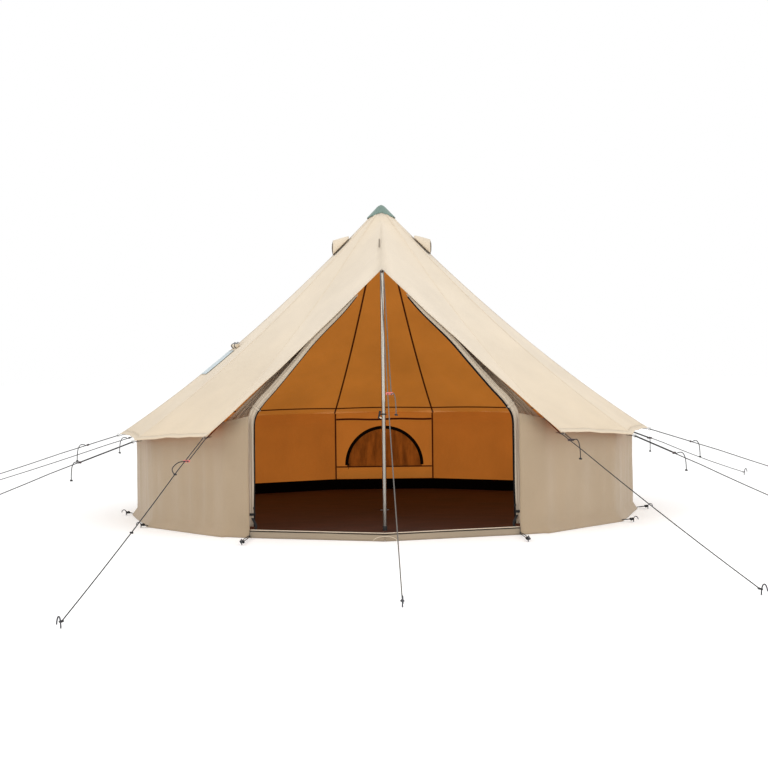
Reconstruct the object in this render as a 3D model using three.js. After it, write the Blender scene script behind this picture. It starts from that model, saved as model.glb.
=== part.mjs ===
// Five-metre bell tent: polygonal canvas canopy on two poles, walls, tub groundsheet and guy ropes.
// Millimetres, +Z up. The door faces -Y and the origin is the groundsheet's centre at ground level.
// Angles are measured from the door, in degrees, positive towards +X.
import * as THREE from 'three';

// Driving dimensions
const APEX_Z = 3030;
const ROOF_SAG = 130;
const GORE_SAG = 12;
const CANVAS = 3;
const CANVAS_DROP = 4.2;
const GAP = 0.5;
const FRONT_ANGLE = 34.5;
const GORES = 11;
const GORE_ANGLE = (360 - 2 * FRONT_ANGLE) / GORES;
const EAVE_R = 2600;
const EAVE_Z = 800;
const FRONT_EAVE_R = 2677;
const FRONT_EAVE_Z = 880;
const HEM_SCALLOP = 0.014;
const COLLAR_S = 0.03;
const CAP_EDGE_S = 0.06;
const RIDGE_SAG = 20;
const DOOR_PEAK_Y = -1790;
const DOOR_PEAK_Z = 2310;
const WALL_R = 2450;
const BASE_R = 2500;
const WALL_TOP = 862;
const SKIRT_Z = 75;
const DOOR_HALF = 1163;
const POLE_R = 19;
const DOOR_POLE_R = 18;
const TUBE_WALL = 1.5;
const SHEET_R = 2430;
const SHEET_RIM = 125;
const SILL_RIM = 60;
const SHEET_T = 3;
const ROPE_D = 8;
const STRAND_GAP = 26;
const RUNNER = { width: 58, depth: 18, length: 12, hole: 5.6, cut: 4 };
const PEG_D = 10;

// Guy ropes: name, the eave corner's angle, the peg's place on the ground
// and the runner's distance from the eave
const GUYS = [
  { name: 'front_left', angle: -FRONT_ANGLE, peg: [-1900, -6400], runner: 753 },
  { name: 'front_right', angle: FRONT_ANGLE, peg: [2410, -5500], runner: 190 },
  { name: 'left_1', angle: -corner(1), peg: [-4300, -2390], runner: 538 },
  { name: 'right_1', angle: corner(1), peg: [3940, -2390], runner: 420 },
  { name: 'left_2', angle: -corner(2), peg: [-5110, 30], runner: 330 },
  { name: 'right_2', angle: corner(2), peg: [4990, -300], runner: 430 },
  { name: 'left_3', angle: -corner(3), peg: [-4890, 1180], runner: 330 },
  { name: 'right_3', angle: corner(3), peg: [4420, 3720], runner: 930 },
  { name: 'left_4', angle: -corner(4), peg: [-2860, 3440], runner: 330 },
  { name: 'right_4', angle: corner(4), peg: [2860, 3440], runner: 330 },
  { name: 'rear_left', angle: -corner(5), peg: [-1030, 4380], runner: 330 },
  { name: 'rear_right', angle: corner(5), peg: [1030, 4380], runner: 330 },
];
const FRONT_GUY = { name: 'front', peg: [105, -5800], runner: 2090 };
const TIED_BACK = 'front_left';

const COLOURS = {
  canvas: 0xe8dccb,
  wall: 0xb9a78a,
  cap: 0x6f7a74,
  steel: 0xc9ccd0,
  grey_steel: 0x8d8f92,
  sheet: 0x3a1d10,
  rope: 0x4a4a4a,
  runner: 0xc65a5a,
  black: 0x1a1a1a,
  lining: 0xab6a27,
  patch: 0x9fb0b8,
};

const tent = new THREE.Group();

function corner(index) {
  return FRONT_ANGLE + index * GORE_ANGLE;
}

function place(radius, angle, z) {
  const a = THREE.MathUtils.degToRad(angle);
  return new THREE.Vector3(radius * Math.sin(a), -radius * Math.cos(a), z);
}

function material(colour, roughness, metalness) {
  return new THREE.MeshStandardMaterial({ color: COLOURS[colour], roughness, metalness });
}

function addPart(name, geometry, colour, roughness = 0.9, metalness = 0) {
  const mesh = new THREE.Mesh(geometry, material(colour, roughness, metalness));
  mesh.name = name;
  tent.add(mesh);
  return mesh;
}

// Signed volume of a triangle list, used to turn a closed body's faces outwards
function signedVolume(triangles) {
  let volume = 0;
  for (const [a, b, c] of triangles) {
    volume += a.dot(new THREE.Vector3().crossVectors(b, c)) / 6;
  }
  return volume;
}

function solidFrom(triangles) {
  const outward = signedVolume(triangles) > 0;
  const positions = [];
  for (const [a, b, c] of triangles) {
    const order = outward ? [a, b, c] : [a, c, b];
    for (const p of order) {
      positions.push(p.x, p.y, p.z);
    }
  }
  const geometry = new THREE.BufferGeometry();
  geometry.setAttribute('position', new THREE.Float32BufferAttribute(positions, 3));
  return geometry;
}

function quad(triangles, a, b, c, d) {
  triangles.push([a, b, c], [a, c, d]);
}

// Closed sheet between two grids of points with the same rows and columns
function shell(outer, inner) {
  const triangles = [];
  const rows = outer.length - 1;
  const columns = outer[0].length - 1;
  for (let i = 0; i < rows; i += 1) {
    for (let j = 0; j < columns; j += 1) {
      quad(triangles, outer[i][j], outer[i][j + 1], outer[i + 1][j + 1], outer[i + 1][j]);
      quad(triangles, inner[i][j], inner[i + 1][j], inner[i + 1][j + 1], inner[i][j + 1]);
    }
    quad(triangles, outer[i + 1][0], inner[i + 1][0], inner[i][0], outer[i][0]);
    quad(triangles, outer[i][columns], inner[i][columns], inner[i + 1][columns], outer[i + 1][columns]);
  }
  for (let j = 0; j < columns; j += 1) {
    quad(triangles, outer[0][j], inner[0][j], inner[0][j + 1], outer[0][j + 1]);
    quad(triangles, outer[rows][j + 1], inner[rows][j + 1], inner[rows][j], outer[rows][j]);
  }
  return solidFrom(triangles);
}

// Closed loft through rings of points, with a fan cap at each end
function loft(rings) {
  const triangles = [];
  const count = rings[0].length;
  for (let i = 0; i < rings.length - 1; i += 1) {
    for (let j = 0; j < count; j += 1) {
      const k = (j + 1) % count;
      quad(triangles, rings[i][j], rings[i][k], rings[i + 1][k], rings[i + 1][j]);
    }
  }
  const last = rings.length - 1;
  for (let j = 1; j < count - 1; j += 1) {
    triangles.push([rings[0][0], rings[0][j + 1], rings[0][j]]);
    triangles.push([rings[last][0], rings[last][j], rings[last][j + 1]]);
  }
  return solidFrom(triangles);
}

// A route through exact points, so that a tube has a section at each of them
class Route extends THREE.Curve {
  constructor(points) {
    super();
    this.points = points;
  }

  getPoint(t) {
    const station = t * (this.points.length - 1);
    const index = Math.min(Math.floor(station), this.points.length - 2);
    return this.points[index].clone().lerp(this.points[index + 1], station - index);
  }

  getPointAt(u) {
    return this.getPoint(u);
  }

  getTangentAt(u) {
    const step = 0.5 / (this.points.length - 1);
    const ahead = this.getPoint(Math.min(u + step, 1));
    return ahead.sub(this.getPoint(Math.max(u - step, 0))).normalize();
  }
}

function disc(radius, sides) {
  const shape = new THREE.Shape();
  for (let i = 0; i < sides; i += 1) {
    const a = (2 * Math.PI * (i + 0.5)) / sides;
    const go = i === 0 ? 'moveTo' : 'lineTo';
    shape[go](radius * Math.cos(a), radius * Math.sin(a));
  }
  return shape;
}

function tube(points, diameter, sides) {
  return new THREE.ExtrudeGeometry(disc(diameter / 2, sides), {
    steps: points.length - 1,
    extrudePath: new Route(points),
    curveSegments: 1,
    bevelEnabled: false,
  });
}

// Seam line of the roof at an angle: s runs from 0 at the apex to 1 at the eave
function seam(angle, s) {
  const front = Math.abs(Math.abs(angle) - FRONT_ANGLE) < 0.01;
  const radius = front ? FRONT_EAVE_R : EAVE_R;
  const low = front ? FRONT_EAVE_Z : EAVE_Z;
  const z = APEX_Z + (low - APEX_Z) * s - 4 * ROOF_SAG * s * (1 - s);
  return place(radius * s, angle, z);
}

// Ridge over the doorway: down the cone to the cap's edge, then out to the door peak
function ridge(s) {
  const start = seam(0, Math.min(s, CAP_EDGE_S));
  const run = Math.max(0, (s - CAP_EDGE_S) / (1 - CAP_EDGE_S));
  const point = start.lerp(new THREE.Vector3(0, DOOR_PEAK_Y, DOOR_PEAK_Z), run);
  point.z -= 4 * RIDGE_SAG * run * (1 - run);
  return point;
}

// Roof point between two seams: w runs from 0 to 1 across the gore
function roof(from, to, w, s) {
  const low = s - HEM_SCALLOP * 4 * w * (1 - w) * s * s;
  const point = seam(from, low).lerp(seam(to, low), w);
  point.z -= 4 * w * (1 - w) * GORE_SAG * low;
  return point;
}

function porch(side, w, s) {
  return ridge(s).lerp(seam(side * FRONT_ANGLE, s), w);
}

const ROOF_STEPS = [COLLAR_S, CAP_EDGE_S, 0.2, 0.4, 0.6, 0.8, 1];
const GORE_STEPS = [0, 0.5, 1];

// The roof's lower face: the cloth's thickness measured straight down
function drop(point) {
  return point.clone().add(new THREE.Vector3(0, 0, -CANVAS_DROP));
}

// One canopy piece over the listed gores; the porch joins its first column on request
function canopy(side, first, last, withPorch) {
  const columns = [];
  if (withPorch) {
    [0, 0.5].forEach((w) => columns.push((s) => porch(side, w, s)));
  }
  for (let gore = first; gore < last; gore += 1) {
    const steps = gore === first ? GORE_STEPS : GORE_STEPS.slice(1);
    steps.forEach((w) => columns.push((s) => roof(side * corner(gore), side * corner(gore + 1), w, s)));
  }
  const outer = ROOF_STEPS.map((s) => columns.map((column) => column(s)));
  trimSides(outer);
  return shell(outer, outer.map((row) => row.map(drop)));
}

// Pulls the two side columns of a grid in by half the gap between neighbouring pieces
function trimSides(grid) {
  for (const row of grid) {
    const last = row.length - 1;
    const start = row[1].clone().sub(row[0]).setLength(GAP);
    const end = row[last - 1].clone().sub(row[last]).setLength(GAP);
    row[0].add(start);
    row[last].add(end);
  }
}

function canopyBack() {
  const angles = [corner(4), corner(5), 360 - corner(5), 360 - corner(4)];
  const columns = [];
  for (let gore = 0; gore < angles.length - 1; gore += 1) {
    const steps = gore === 0 ? GORE_STEPS : GORE_STEPS.slice(1);
    steps.forEach((w) => columns.push((s) => roof(angles[gore], angles[gore + 1], w, s)));
  }
  const outer = ROOF_STEPS.map((s) => columns.map((column) => column(s)));
  trimSides(outer);
  return shell(outer, outer.map((row) => row.map(drop)));
}

addPart('canopy_front_left', canopy(-1, 0, 1, true), 'canvas');
addPart('canopy_front_right', canopy(1, 0, 1, true), 'canvas');
addPart('canopy_left', canopy(-1, 1, 4, false), 'canvas');
addPart('canopy_right', canopy(1, 1, 4, false), 'canvas');
addPart('canopy_back', canopyBack(), 'canvas');

// Apex cap: a shallow pointed cap over the canopy's collar
const CAP_R = 140;
const CAP_RISE = 22;
const CAP_T = 4;

function capGeometry() {
  const slope = (s) => seam(corner(2), s).z + CAP_RISE;
  const edge = CAP_R / EAVE_R;
  const profile = [
    new THREE.Vector2(0, APEX_Z + CAP_RISE),
    new THREE.Vector2(CAP_R * 0.45, slope(edge * 0.45)),
    new THREE.Vector2(CAP_R, slope(edge)),
    new THREE.Vector2(CAP_R, slope(edge) - CAP_T),
    new THREE.Vector2(CAP_R * 0.45, slope(edge * 0.45) - CAP_T),
    new THREE.Vector2(0, APEX_Z + CAP_RISE - CAP_T),
  ];
  return new THREE.LatheGeometry(profile.reverse(), 12).rotateX(Math.PI / 2);
}

addPart('apex_cap', capGeometry(), 'cap');

// Vent hoods: small folded hoods over the vents, open on the side away from the apex
const VENT_S = [0.125, 0.185];
const VENT_HALF = 95;
const VENT_RISE = [26, 140];
const VENT_T = 4;
const VENT_FOOT = 6;

function ventHood(angle) {
  const across = place(1, angle + 90, 0);
  const section = (s, half, rise) => {
    const places = [[-1, 0], [-0.55, 0.62], [0, 1], [0.55, 0.62], [1, 0]];
    return places.map(([out, up]) => {
      const point = seam(angle, s).addScaledVector(across, out * half);
      point.z += VENT_FOOT + up * rise;
      return point;
    });
  };
  const outer = VENT_S.map((s, i) => section(s, VENT_HALF, VENT_RISE[i]));
  const inner = VENT_S.map((s, i) => section(s, VENT_HALF - VENT_T * 2, VENT_RISE[i] - VENT_T * 1.5));
  return shell(outer, inner);
}

addPart('vent_hood_left', ventHood(-corner(2)), 'canvas');
addPart('vent_hood_right', ventHood(corner(2)), 'canvas');

// Poles: steel tubes with swaged joints
const FERRULE = { taper: 4, foot: 40, head: 10 };
const SWAGE = { rise: 1.5, flat: 8, reach: 12 };
const CENTRE_JOINTS = [1000, 2000];
const DOOR_JOINTS = [1150];

function poleProfile(radius, bottom, top, joints) {
  const narrow = radius - FERRULE.taper;
  const wide = radius + SWAGE.rise;
  const outer = [new THREE.Vector2(narrow, bottom), new THREE.Vector2(radius, bottom + FERRULE.foot)];
  for (const z of joints) {
    outer.push(new THREE.Vector2(radius, z - SWAGE.reach), new THREE.Vector2(wide, z - SWAGE.flat));
    outer.push(new THREE.Vector2(wide, z + SWAGE.flat), new THREE.Vector2(radius, z + SWAGE.reach));
  }
  outer.push(new THREE.Vector2(radius, top - FERRULE.head), new THREE.Vector2(narrow, top));
  const bore = narrow - TUBE_WALL;
  outer.push(new THREE.Vector2(bore, top), new THREE.Vector2(bore, bottom), outer[0].clone());
  return outer;
}

function pole(radius, bottom, top, joints) {
  return new THREE.LatheGeometry(poleProfile(radius, bottom, top, joints), 16).rotateX(Math.PI / 2);
}

const POLE_BASE = SHEET_T + GAP;
const CENTRE_HEADROOM = 45;
const DOOR_HEADROOM = 30;
const CENTRE_TOP = APEX_Z - CENTRE_HEADROOM;
const DOOR_TOP = DOOR_PEAK_Z - DOOR_HEADROOM;
addPart('centre_pole', pole(POLE_R, POLE_BASE, CENTRE_TOP, CENTRE_JOINTS), 'grey_steel', 0.4, 0.9);
const doorPole = addPart('door_pole', pole(DOOR_POLE_R, POLE_BASE, DOOR_TOP, DOOR_JOINTS), 'steel', 0.3, 0.9);
doorPole.position.set(0, DOOR_PEAK_Y, 0);

// Walls: upright panels with a splayed skirt at the ground
const WALL_ROWS = [
  { r: BASE_R, z: 0 },
  { r: WALL_R, z: SKIRT_Z },
  { r: WALL_R, z: 470 },
  { r: WALL_R, z: WALL_TOP },
];
const FRONT_TOP = 960;
const FRONT_MIDDLE = 520;
const SHOULDER_TOP = 1045;
const STRIP_FOOT_Y = -2135;
const STRIP_HEAD_Y = -2070;
const STRIP_ROWS = [0, SKIRT_Z, 600, SHOULDER_TOP];

function wallGrid(angles, thickness) {
  return WALL_ROWS.map((row) => angles.map((angle) => {
    return place(row.r - thickness, angle, row.z);
  }));
}

// The strip beside the doorway runs up to the slanting edge of the porch
function stripColumn(side, thickness) {
  const low = new THREE.Vector3(side * DOOR_HALF, STRIP_FOOT_Y + thickness, 0);
  const high = new THREE.Vector3(side * DOOR_HALF, STRIP_HEAD_Y + thickness, SHOULDER_TOP);
  return STRIP_ROWS.map((z) => low.clone().lerp(high, z / SHOULDER_TOP));
}

function wall(side, first, last) {
  const make = (thickness) => {
    const angles = [];
    for (let i = first; i <= last; i += 1) {
      angles.push(side * corner(i));
    }
    const grid = wallGrid(angles, thickness);
    if (first === 0) {
      grid[3][0].z = FRONT_TOP;
      grid[2][0].z = FRONT_MIDDLE;
      stripColumn(side, thickness).forEach((point, i) => grid[i].unshift(point));
    }
    return grid;
  };
  const outer = make(0);
  const inner = make(CANVAS);
  trimSides(outer);
  trimSides(inner);
  return shell(outer, inner);
}

function wallBack() {
  const make = (thickness) => {
    const angles = [corner(3), corner(4), corner(5), 360 - corner(5), 360 - corner(4), 360 - corner(3)];
    return wallGrid(angles, thickness);
  };
  const outer = make(0);
  const inner = make(CANVAS);
  trimSides(outer);
  trimSides(inner);
  return shell(outer, inner);
}

addPart('wall_left', wall(-1, 0, 3), 'wall');
addPart('wall_right', wall(1, 0, 3), 'wall');
addPart('wall_back', wallBack(), 'wall');

// Tub groundsheet: a floor with an upstand along the walls and a lower sill at the doorway
function groundsheet() {
  const angles = [0];
  for (let i = 0; i < GORES + 1; i += 1) {
    angles.push(corner(i));
  }
  const ring = (radius, z) => angles.map((angle) => place(radius, angle, z));
  const rim = (inset) => angles.map((angle, i) => {
    const height = i === 0 ? SILL_RIM : SHEET_RIM;
    return place(SHEET_R - inset, angle, height);
  });
  const rings = [ring(SHEET_R, 0), rim(0), rim(SHEET_T), ring(SHEET_R - SHEET_T, SHEET_T)];
  const count = angles.length;
  const triangles = [];
  for (let i = 0; i < rings.length - 1; i += 1) {
    for (let j = 0; j < count; j += 1) {
      const k = (j + 1) % count;
      quad(triangles, rings[i][j], rings[i][k], rings[i + 1][k], rings[i + 1][j]);
    }
  }
  const low = new THREE.Vector3(0, 0, 0);
  const high = new THREE.Vector3(0, 0, SHEET_T);
  for (let j = 0; j < count; j += 1) {
    const k = (j + 1) % count;
    triangles.push([low, rings[0][k], rings[0][j]]);
    triangles.push([high, rings[3][j], rings[3][k]]);
  }
  return solidFrom(triangles);
}

addPart('groundsheet', groundsheet(), 'sheet', 0.6);

// Tied-back doors: bundles of gathered cloth from the peak down the slant and the side
const DOOR_STATIONS = [
  { x: 120, y: -1795, z: 2150, width: 16, depth: 14 },
  { x: 350, y: -1852, z: 1932, width: 40, depth: 22 },
  { x: 591, y: -1905, z: 1695, width: 56, depth: 26 },
  { x: 754, y: -1950, z: 1496, width: 96, depth: 32 },
  { x: 938, y: -2000, z: 1285, width: 124, depth: 36 },
  { x: 1058, y: -2022, z: 1150, width: 118, depth: 38 },
  { x: 1136, y: -2034, z: 1025, width: 78, depth: 38 },
  { x: 1148, y: -2036, z: 840, width: 54, depth: 36 },
  { x: 1157, y: -2036, z: 85, width: 54, depth: 36 },
];
const BUNDLE_SIDES = 8;

function doorBundle(side) {
  const rings = DOOR_STATIONS.map((station, i) => {
    const before = DOOR_STATIONS[Math.max(i - 1, 0)];
    const after = DOOR_STATIONS[Math.min(i + 1, DOOR_STATIONS.length - 1)];
    const run = new THREE.Vector2(after.x - before.x, after.z - before.z).normalize();
    const ring = [];
    for (let j = 0; j < BUNDLE_SIDES; j += 1) {
      const a = (2 * Math.PI * (j + 0.5)) / BUNDLE_SIDES;
      const out = (Math.cos(a) * station.width) / 2;
      const back = (Math.sin(a) * station.depth) / 2;
      const x = station.x - run.y * out;
      const z = station.z + run.x * out;
      ring.push(new THREE.Vector3(side * x, station.y + back, z));
    }
    return ring;
  });
  return loft(rings);
}

addPart('door_left', doorBundle(-1), 'canvas');
addPart('door_right', doorBundle(1), 'canvas');

// Rear window: an arched cover on the inside of the back wall with a zip slider on its arch
const WINDOW = { radius: 430, base: 262, spring: 282, thickness: 5, arcSteps: 12 };
const BACK_FACE = WALL_R * Math.cos(THREE.MathUtils.degToRad(GORE_ANGLE / 2));

function archOutline() {
  const shape = new THREE.Shape();
  shape.moveTo(-WINDOW.radius, WINDOW.base);
  shape.lineTo(WINDOW.radius, WINDOW.base);
  for (let i = 0; i <= WINDOW.arcSteps; i += 1) {
    const a = (Math.PI * i) / WINDOW.arcSteps;
    shape.lineTo(WINDOW.radius * Math.cos(a), WINDOW.spring + WINDOW.radius * Math.sin(a));
  }
  return shape;
}

const cover = new THREE.ExtrudeGeometry(archOutline(), { depth: WINDOW.thickness, bevelEnabled: false });
cover.rotateX(Math.PI / 2);
const coverMesh = addPart('rear_window_cover', cover, 'lining');
const COVER_Y = BACK_FACE - CANVAS_DROP - GAP;
coverMesh.position.set(0, COVER_Y, 0);

function slider(width, height, depth) {
  const shape = new THREE.Shape();
  shape.moveTo(-width / 2, 0);
  shape.lineTo(-width / 3, -height);
  shape.lineTo(width / 3, -height);
  shape.lineTo(width / 2, 0);
  shape.lineTo(width / 3, height * 0.4);
  shape.lineTo(-width / 3, height * 0.4);
  return new THREE.ExtrudeGeometry(shape, { depth, bevelEnabled: false }).rotateX(Math.PI / 2);
}

const ZIP = { width: 18, height: 50, depth: 6 };
const WINDOW_ZIP_INSET = 20;
const windowSlider = addPart('window_zip_slider', slider(ZIP.width, ZIP.height, ZIP.depth), 'black', 0.5);
windowSlider.position.set(-WINDOW.radius + WINDOW_ZIP_INSET, COVER_Y - WINDOW.thickness - GAP, WINDOW.spring);

// Door zip sliders near the foot of each doorway side, on the zip behind the wall's edge
const DOOR_ZIP = { x: 1126, y: -2060, z: 240 };
for (const [name, side] of [['door_zip_slider_left', -1], ['door_zip_slider_right', 1]]) {
  const mesh = addPart(name, slider(ZIP.width, ZIP.height, ZIP.depth), 'black', 0.5);
  mesh.position.set(side * DOOR_ZIP.x, DOOR_ZIP.y, DOOR_ZIP.z);
}

// Stove jack: a heat-proof patch on the left rear of the roof, standing just above the cloth
const STOVE_ROWS = [0.585, 0.695];
const STOVE_COLUMNS = [0.70, 0.96];
const STOVE_LIFT = { top: 14, bottom: 8 };

function stoveJack() {
  const from = -corner(1);
  const to = -corner(2);
  const grid = (lift) => STOVE_ROWS.map((s) => STOVE_COLUMNS.map((w) => {
    const point = roof(from, to, w, s);
    point.z += lift;
    return point;
  }));
  return shell(grid(STOVE_LIFT.top), grid(STOVE_LIFT.bottom));
}

addPart('stove_jack', stoveJack(), 'patch');

// Guy ropes: peg, up to the eave, round the ring and back through the runner to a hanging tail
const TURN_STEPS = 6;
const RUN_STEPS = 7;
const SLIDE_ROOM = 280;
const LINE_SAG = 14;
const PEG_LOOP_Z = 38;
const HANGING_TAIL = [
  { out: 20, aside: 8, down: -10 },
  { out: 52, aside: 20, down: -6 },
  { out: 74, aside: 28, down: 34 },
  { out: 82, aside: 32, down: 96 },
  { out: 84, aside: 33, down: 150 },
];
const TIED_TAIL = [
  { out: 40, aside: 14, down: -4 },
  { out: 140, aside: 30, down: 4 },
  { out: 260, aside: 22, down: 6 },
  { out: 360, aside: -13, down: 0 },
];

function lineFrame(top, peg) {
  const along = peg.clone().sub(top);
  const length = along.length();
  along.normalize();
  const across = new THREE.Vector3().crossVectors(along, new THREE.Vector3(0, 0, 1)).normalize();
  return { along, across, length };
}

// The two strands run straight and parallel as far as the runner slides, and the long one then sags a little
function ropePoints(name, top, peg, distance) {
  const { along, across, length } = lineFrame(top, peg);
  const half = STRAND_GAP / 2;
  const straight = distance + SLIDE_ROOM;
  const at = (out, side) => top.clone().addScaledVector(along, out).addScaledVector(across, side * half);
  const points = [];
  for (let i = RUN_STEPS; i >= 0; i -= 1) {
    const v = i / RUN_STEPS;
    const point = at(straight + (length - straight) * v, 1);
    point.addScaledVector(across, -half * v);
    point.z -= 4 * LINE_SAG * v * (1 - v);
    points.push(point);
  }
  const centre = at(half, 0);
  for (let i = 0; i <= TURN_STEPS; i += 1) {
    const a = (Math.PI * i) / TURN_STEPS;
    const point = centre.clone().addScaledVector(across, half * Math.cos(a));
    points.push(point.addScaledVector(along, -half * Math.sin(a)));
  }
  points.push(at(distance * 0.5, -1));
  const end = at(distance + RUNNER.length, -1);
  points.push(end);
  if (name === TIED_BACK) {
    for (const { out, aside, down } of TIED_TAIL) {
      const point = end.clone().addScaledVector(along, out).addScaledVector(across, -aside);
      point.z -= down;
      points.push(point);
    }
  } else {
    for (const { out, aside, down } of HANGING_TAIL) {
      const point = end.clone().addScaledVector(along, out).addScaledVector(across, -aside);
      point.z = end.z - down;
      points.push(point);
    }
  }
  return points;
}

function runnerGeometry(top, peg, distance) {
  const shape = new THREE.Shape();
  const w = RUNNER.width / 2;
  const d = RUNNER.depth / 2;
  const { cut } = RUNNER;
  shape.moveTo(-w + cut, -d);
  shape.lineTo(w - cut, -d);
  shape.lineTo(w, -d + cut);
  shape.lineTo(w, d - cut);
  shape.lineTo(w - cut, d);
  shape.lineTo(-w + cut, d);
  shape.lineTo(-w, d - cut);
  shape.lineTo(-w, -d + cut);
  for (const side of [-1, 1]) {
    const hole = new THREE.Path();
    for (let i = 0; i < 6; i += 1) {
      const a = (Math.PI * (i + 0.5)) / 3;
      const go = i === 0 ? 'moveTo' : 'lineTo';
      hole[go]((side * STRAND_GAP) / 2 + RUNNER.hole * Math.cos(a), RUNNER.hole * Math.sin(a));
    }
    shape.holes.push(hole);
  }
  const geometry = new THREE.ExtrudeGeometry(shape, { depth: RUNNER.length, bevelEnabled: false });
  const { along, across } = lineFrame(top, peg);
  const up = new THREE.Vector3().crossVectors(along, across);
  const centre = top.clone().addScaledVector(along, distance - RUNNER.length);
  geometry.applyMatrix4(new THREE.Matrix4().makeBasis(across, up, along));
  geometry.translate(centre.x, centre.y, centre.z);
  return geometry;
}

// Hooked steel pegs: the part above ground, ending flat on it
const PEG_ROUTE = [
  { out: 22, z: 0.4 },
  { out: 22, z: 14 },
  { out: 26, z: 36 },
  { out: 36, z: 60 },
  { out: 54, z: 74 },
  { out: 76, z: 74 },
  { out: 94, z: 58 },
  { out: 104, z: 36 },
];

function pegGeometry(top, peg) {
  const away = new THREE.Vector3(peg.x - top.x, peg.y - top.y, 0).normalize();
  const points = PEG_ROUTE.map(({ out, z }) => {
    return new THREE.Vector3(peg.x, peg.y, z).addScaledVector(away, out);
  });
  return tube(points, PEG_D, 6);
}

function addGuy(guy, top) {
  const { name, runner } = guy;
  const peg = new THREE.Vector3(guy.peg[0], guy.peg[1], PEG_LOOP_Z);
  addPart(`guy_rope_${name}`, tube(ropePoints(name, top, peg, runner), ROPE_D, 8), 'rope');
  addPart(`runner_${name}`, runnerGeometry(top, peg, runner), 'runner', 0.5);
  addPart(`peg_${name}`, pegGeometry(top, peg), 'grey_steel', 0.4, 0.9);
}

const EYE_OUT = 16;
const EYE_DROP = 10;
const PEAK_EYE = { out: 22, drop: 14 };
for (const guy of GUYS) {
  const front = Math.abs(guy.angle) === FRONT_ANGLE;
  const radius = (front ? FRONT_EAVE_R : EAVE_R) + EYE_OUT;
  const z = (front ? FRONT_EAVE_Z : EAVE_Z) - EYE_DROP;
  addGuy(guy, place(radius, guy.angle, z));
}
addGuy(FRONT_GUY, new THREE.Vector3(0, DOOR_PEAK_Y - PEAK_EYE.out, DOOR_PEAK_Z - PEAK_EYE.drop));

export default tent;
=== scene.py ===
"""Bell tent: canvas, poles, ropes and pegs dressed round the CAD frame. Metres, +Z up, door towards -Y."""
import math

import bpy
import bmesh
from mathutils import Euler, Matrix, Vector, noise


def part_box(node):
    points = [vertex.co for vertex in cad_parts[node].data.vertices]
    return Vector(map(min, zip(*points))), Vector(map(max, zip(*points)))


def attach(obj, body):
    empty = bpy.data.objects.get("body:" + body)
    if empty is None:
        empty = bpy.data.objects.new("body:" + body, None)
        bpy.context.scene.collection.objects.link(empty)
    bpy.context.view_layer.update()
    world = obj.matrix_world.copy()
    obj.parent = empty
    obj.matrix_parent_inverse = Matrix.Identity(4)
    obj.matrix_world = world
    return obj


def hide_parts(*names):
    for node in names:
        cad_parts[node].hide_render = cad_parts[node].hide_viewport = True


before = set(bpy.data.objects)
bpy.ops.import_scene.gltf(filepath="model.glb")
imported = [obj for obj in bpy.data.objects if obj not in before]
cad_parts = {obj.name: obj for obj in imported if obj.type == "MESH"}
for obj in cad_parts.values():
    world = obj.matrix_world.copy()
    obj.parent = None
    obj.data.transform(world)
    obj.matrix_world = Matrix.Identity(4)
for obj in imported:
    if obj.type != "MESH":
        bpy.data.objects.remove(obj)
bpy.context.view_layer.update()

HULL = "tent"
UP = Vector((0, 0, 1))
FRONT = Vector((0, -1, 0))
BACK = Vector((0, 1, 0))
RIGHT = Vector((1, 0, 0))

# Driving dimensions, in metres, the same as the frame's
APEX_Z = 3.03
ROOF_SAG = 0.13
GORE_SAG = 0.012
FRONT_ANGLE = 34.5
GORES = 11
GORE_ANGLE = (360 - 2 * FRONT_ANGLE) / GORES
EAVE_R, EAVE_Z = 2.6, 0.8
FRONT_EAVE_R, FRONT_EAVE_Z = 2.677, 0.88
HEM_SCALLOP = 0.014
COLLAR_S = 0.03
CAP_EDGE_S = 0.06
RIDGE_SAG = 0.02
PORCH_SAG = 0.018
PEAK = Vector((0, -1.79, 2.31))
WALL_R = 2.45
BASE_R = 2.5
SKIRT_Z = 0.075
DOOR_HALF = 1.163
JAMB_Y = -2.128
SHOULDER_TOP = 1.045
SHEET_R = 2.43
SHEET_RIM = 0.125
SILL_RIM = 0.046
ROPE_D = 0.008
STRAND_GAP = 0.026
TURN_RADIUS = 0.017
TURN_EASE = 0.030
SLIDE_ROOM = 0.28
RUNNER_LENGTH = 0.012
LINE_SAG = 0.014
PEG_LOOP_Z = 0.038


def corner(index):
    return FRONT_ANGLE + index * GORE_ANGLE


def place(radius, angle, z):
    a = math.radians(angle)
    return Vector((radius * math.sin(a), -radius * math.cos(a), z))


# ---------------------------------------------------------------- camera, light and floor
CAMERA_AT = Vector((0.007, -15.57, 1.616))
CAMERA_LENS = 73.55
SENSOR = 36
CAMERA_FAR = 200
CAMERA_PITCH = math.radians(-1.31)
CAMERA_ROLL = math.radians(-0.7)
LAMPS = (("key", (-7.5, -9, 9), 330, 7), ("fill", (8, -8, 6), 290, 8))
LAMP_COLOUR = (1.0, 0.98, 0.95)
FLOOR_REACH = 60
FLOOR_DROP = -0.001
FLOOR_COLOUR = (0.96, 0.96, 0.96)
FLOOR_GLOW = 0.10


def link_object(name, data):
    obj = bpy.data.objects.new(name, data)
    bpy.context.scene.collection.objects.link(obj)
    return obj


def make_camera():
    data = bpy.data.cameras.new("camera")
    data.lens = CAMERA_LENS
    data.sensor_width = SENSOR
    data.clip_end = CAMERA_FAR
    camera = link_object("camera", data)
    upright = Euler((math.pi / 2 + CAMERA_PITCH, 0, 0)).to_matrix()
    turned = (upright @ Matrix.Rotation(CAMERA_ROLL, 3, "Z")).to_4x4()
    camera.matrix_world = Matrix.Translation(CAMERA_AT) @ turned
    bpy.context.scene.camera = camera


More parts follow.
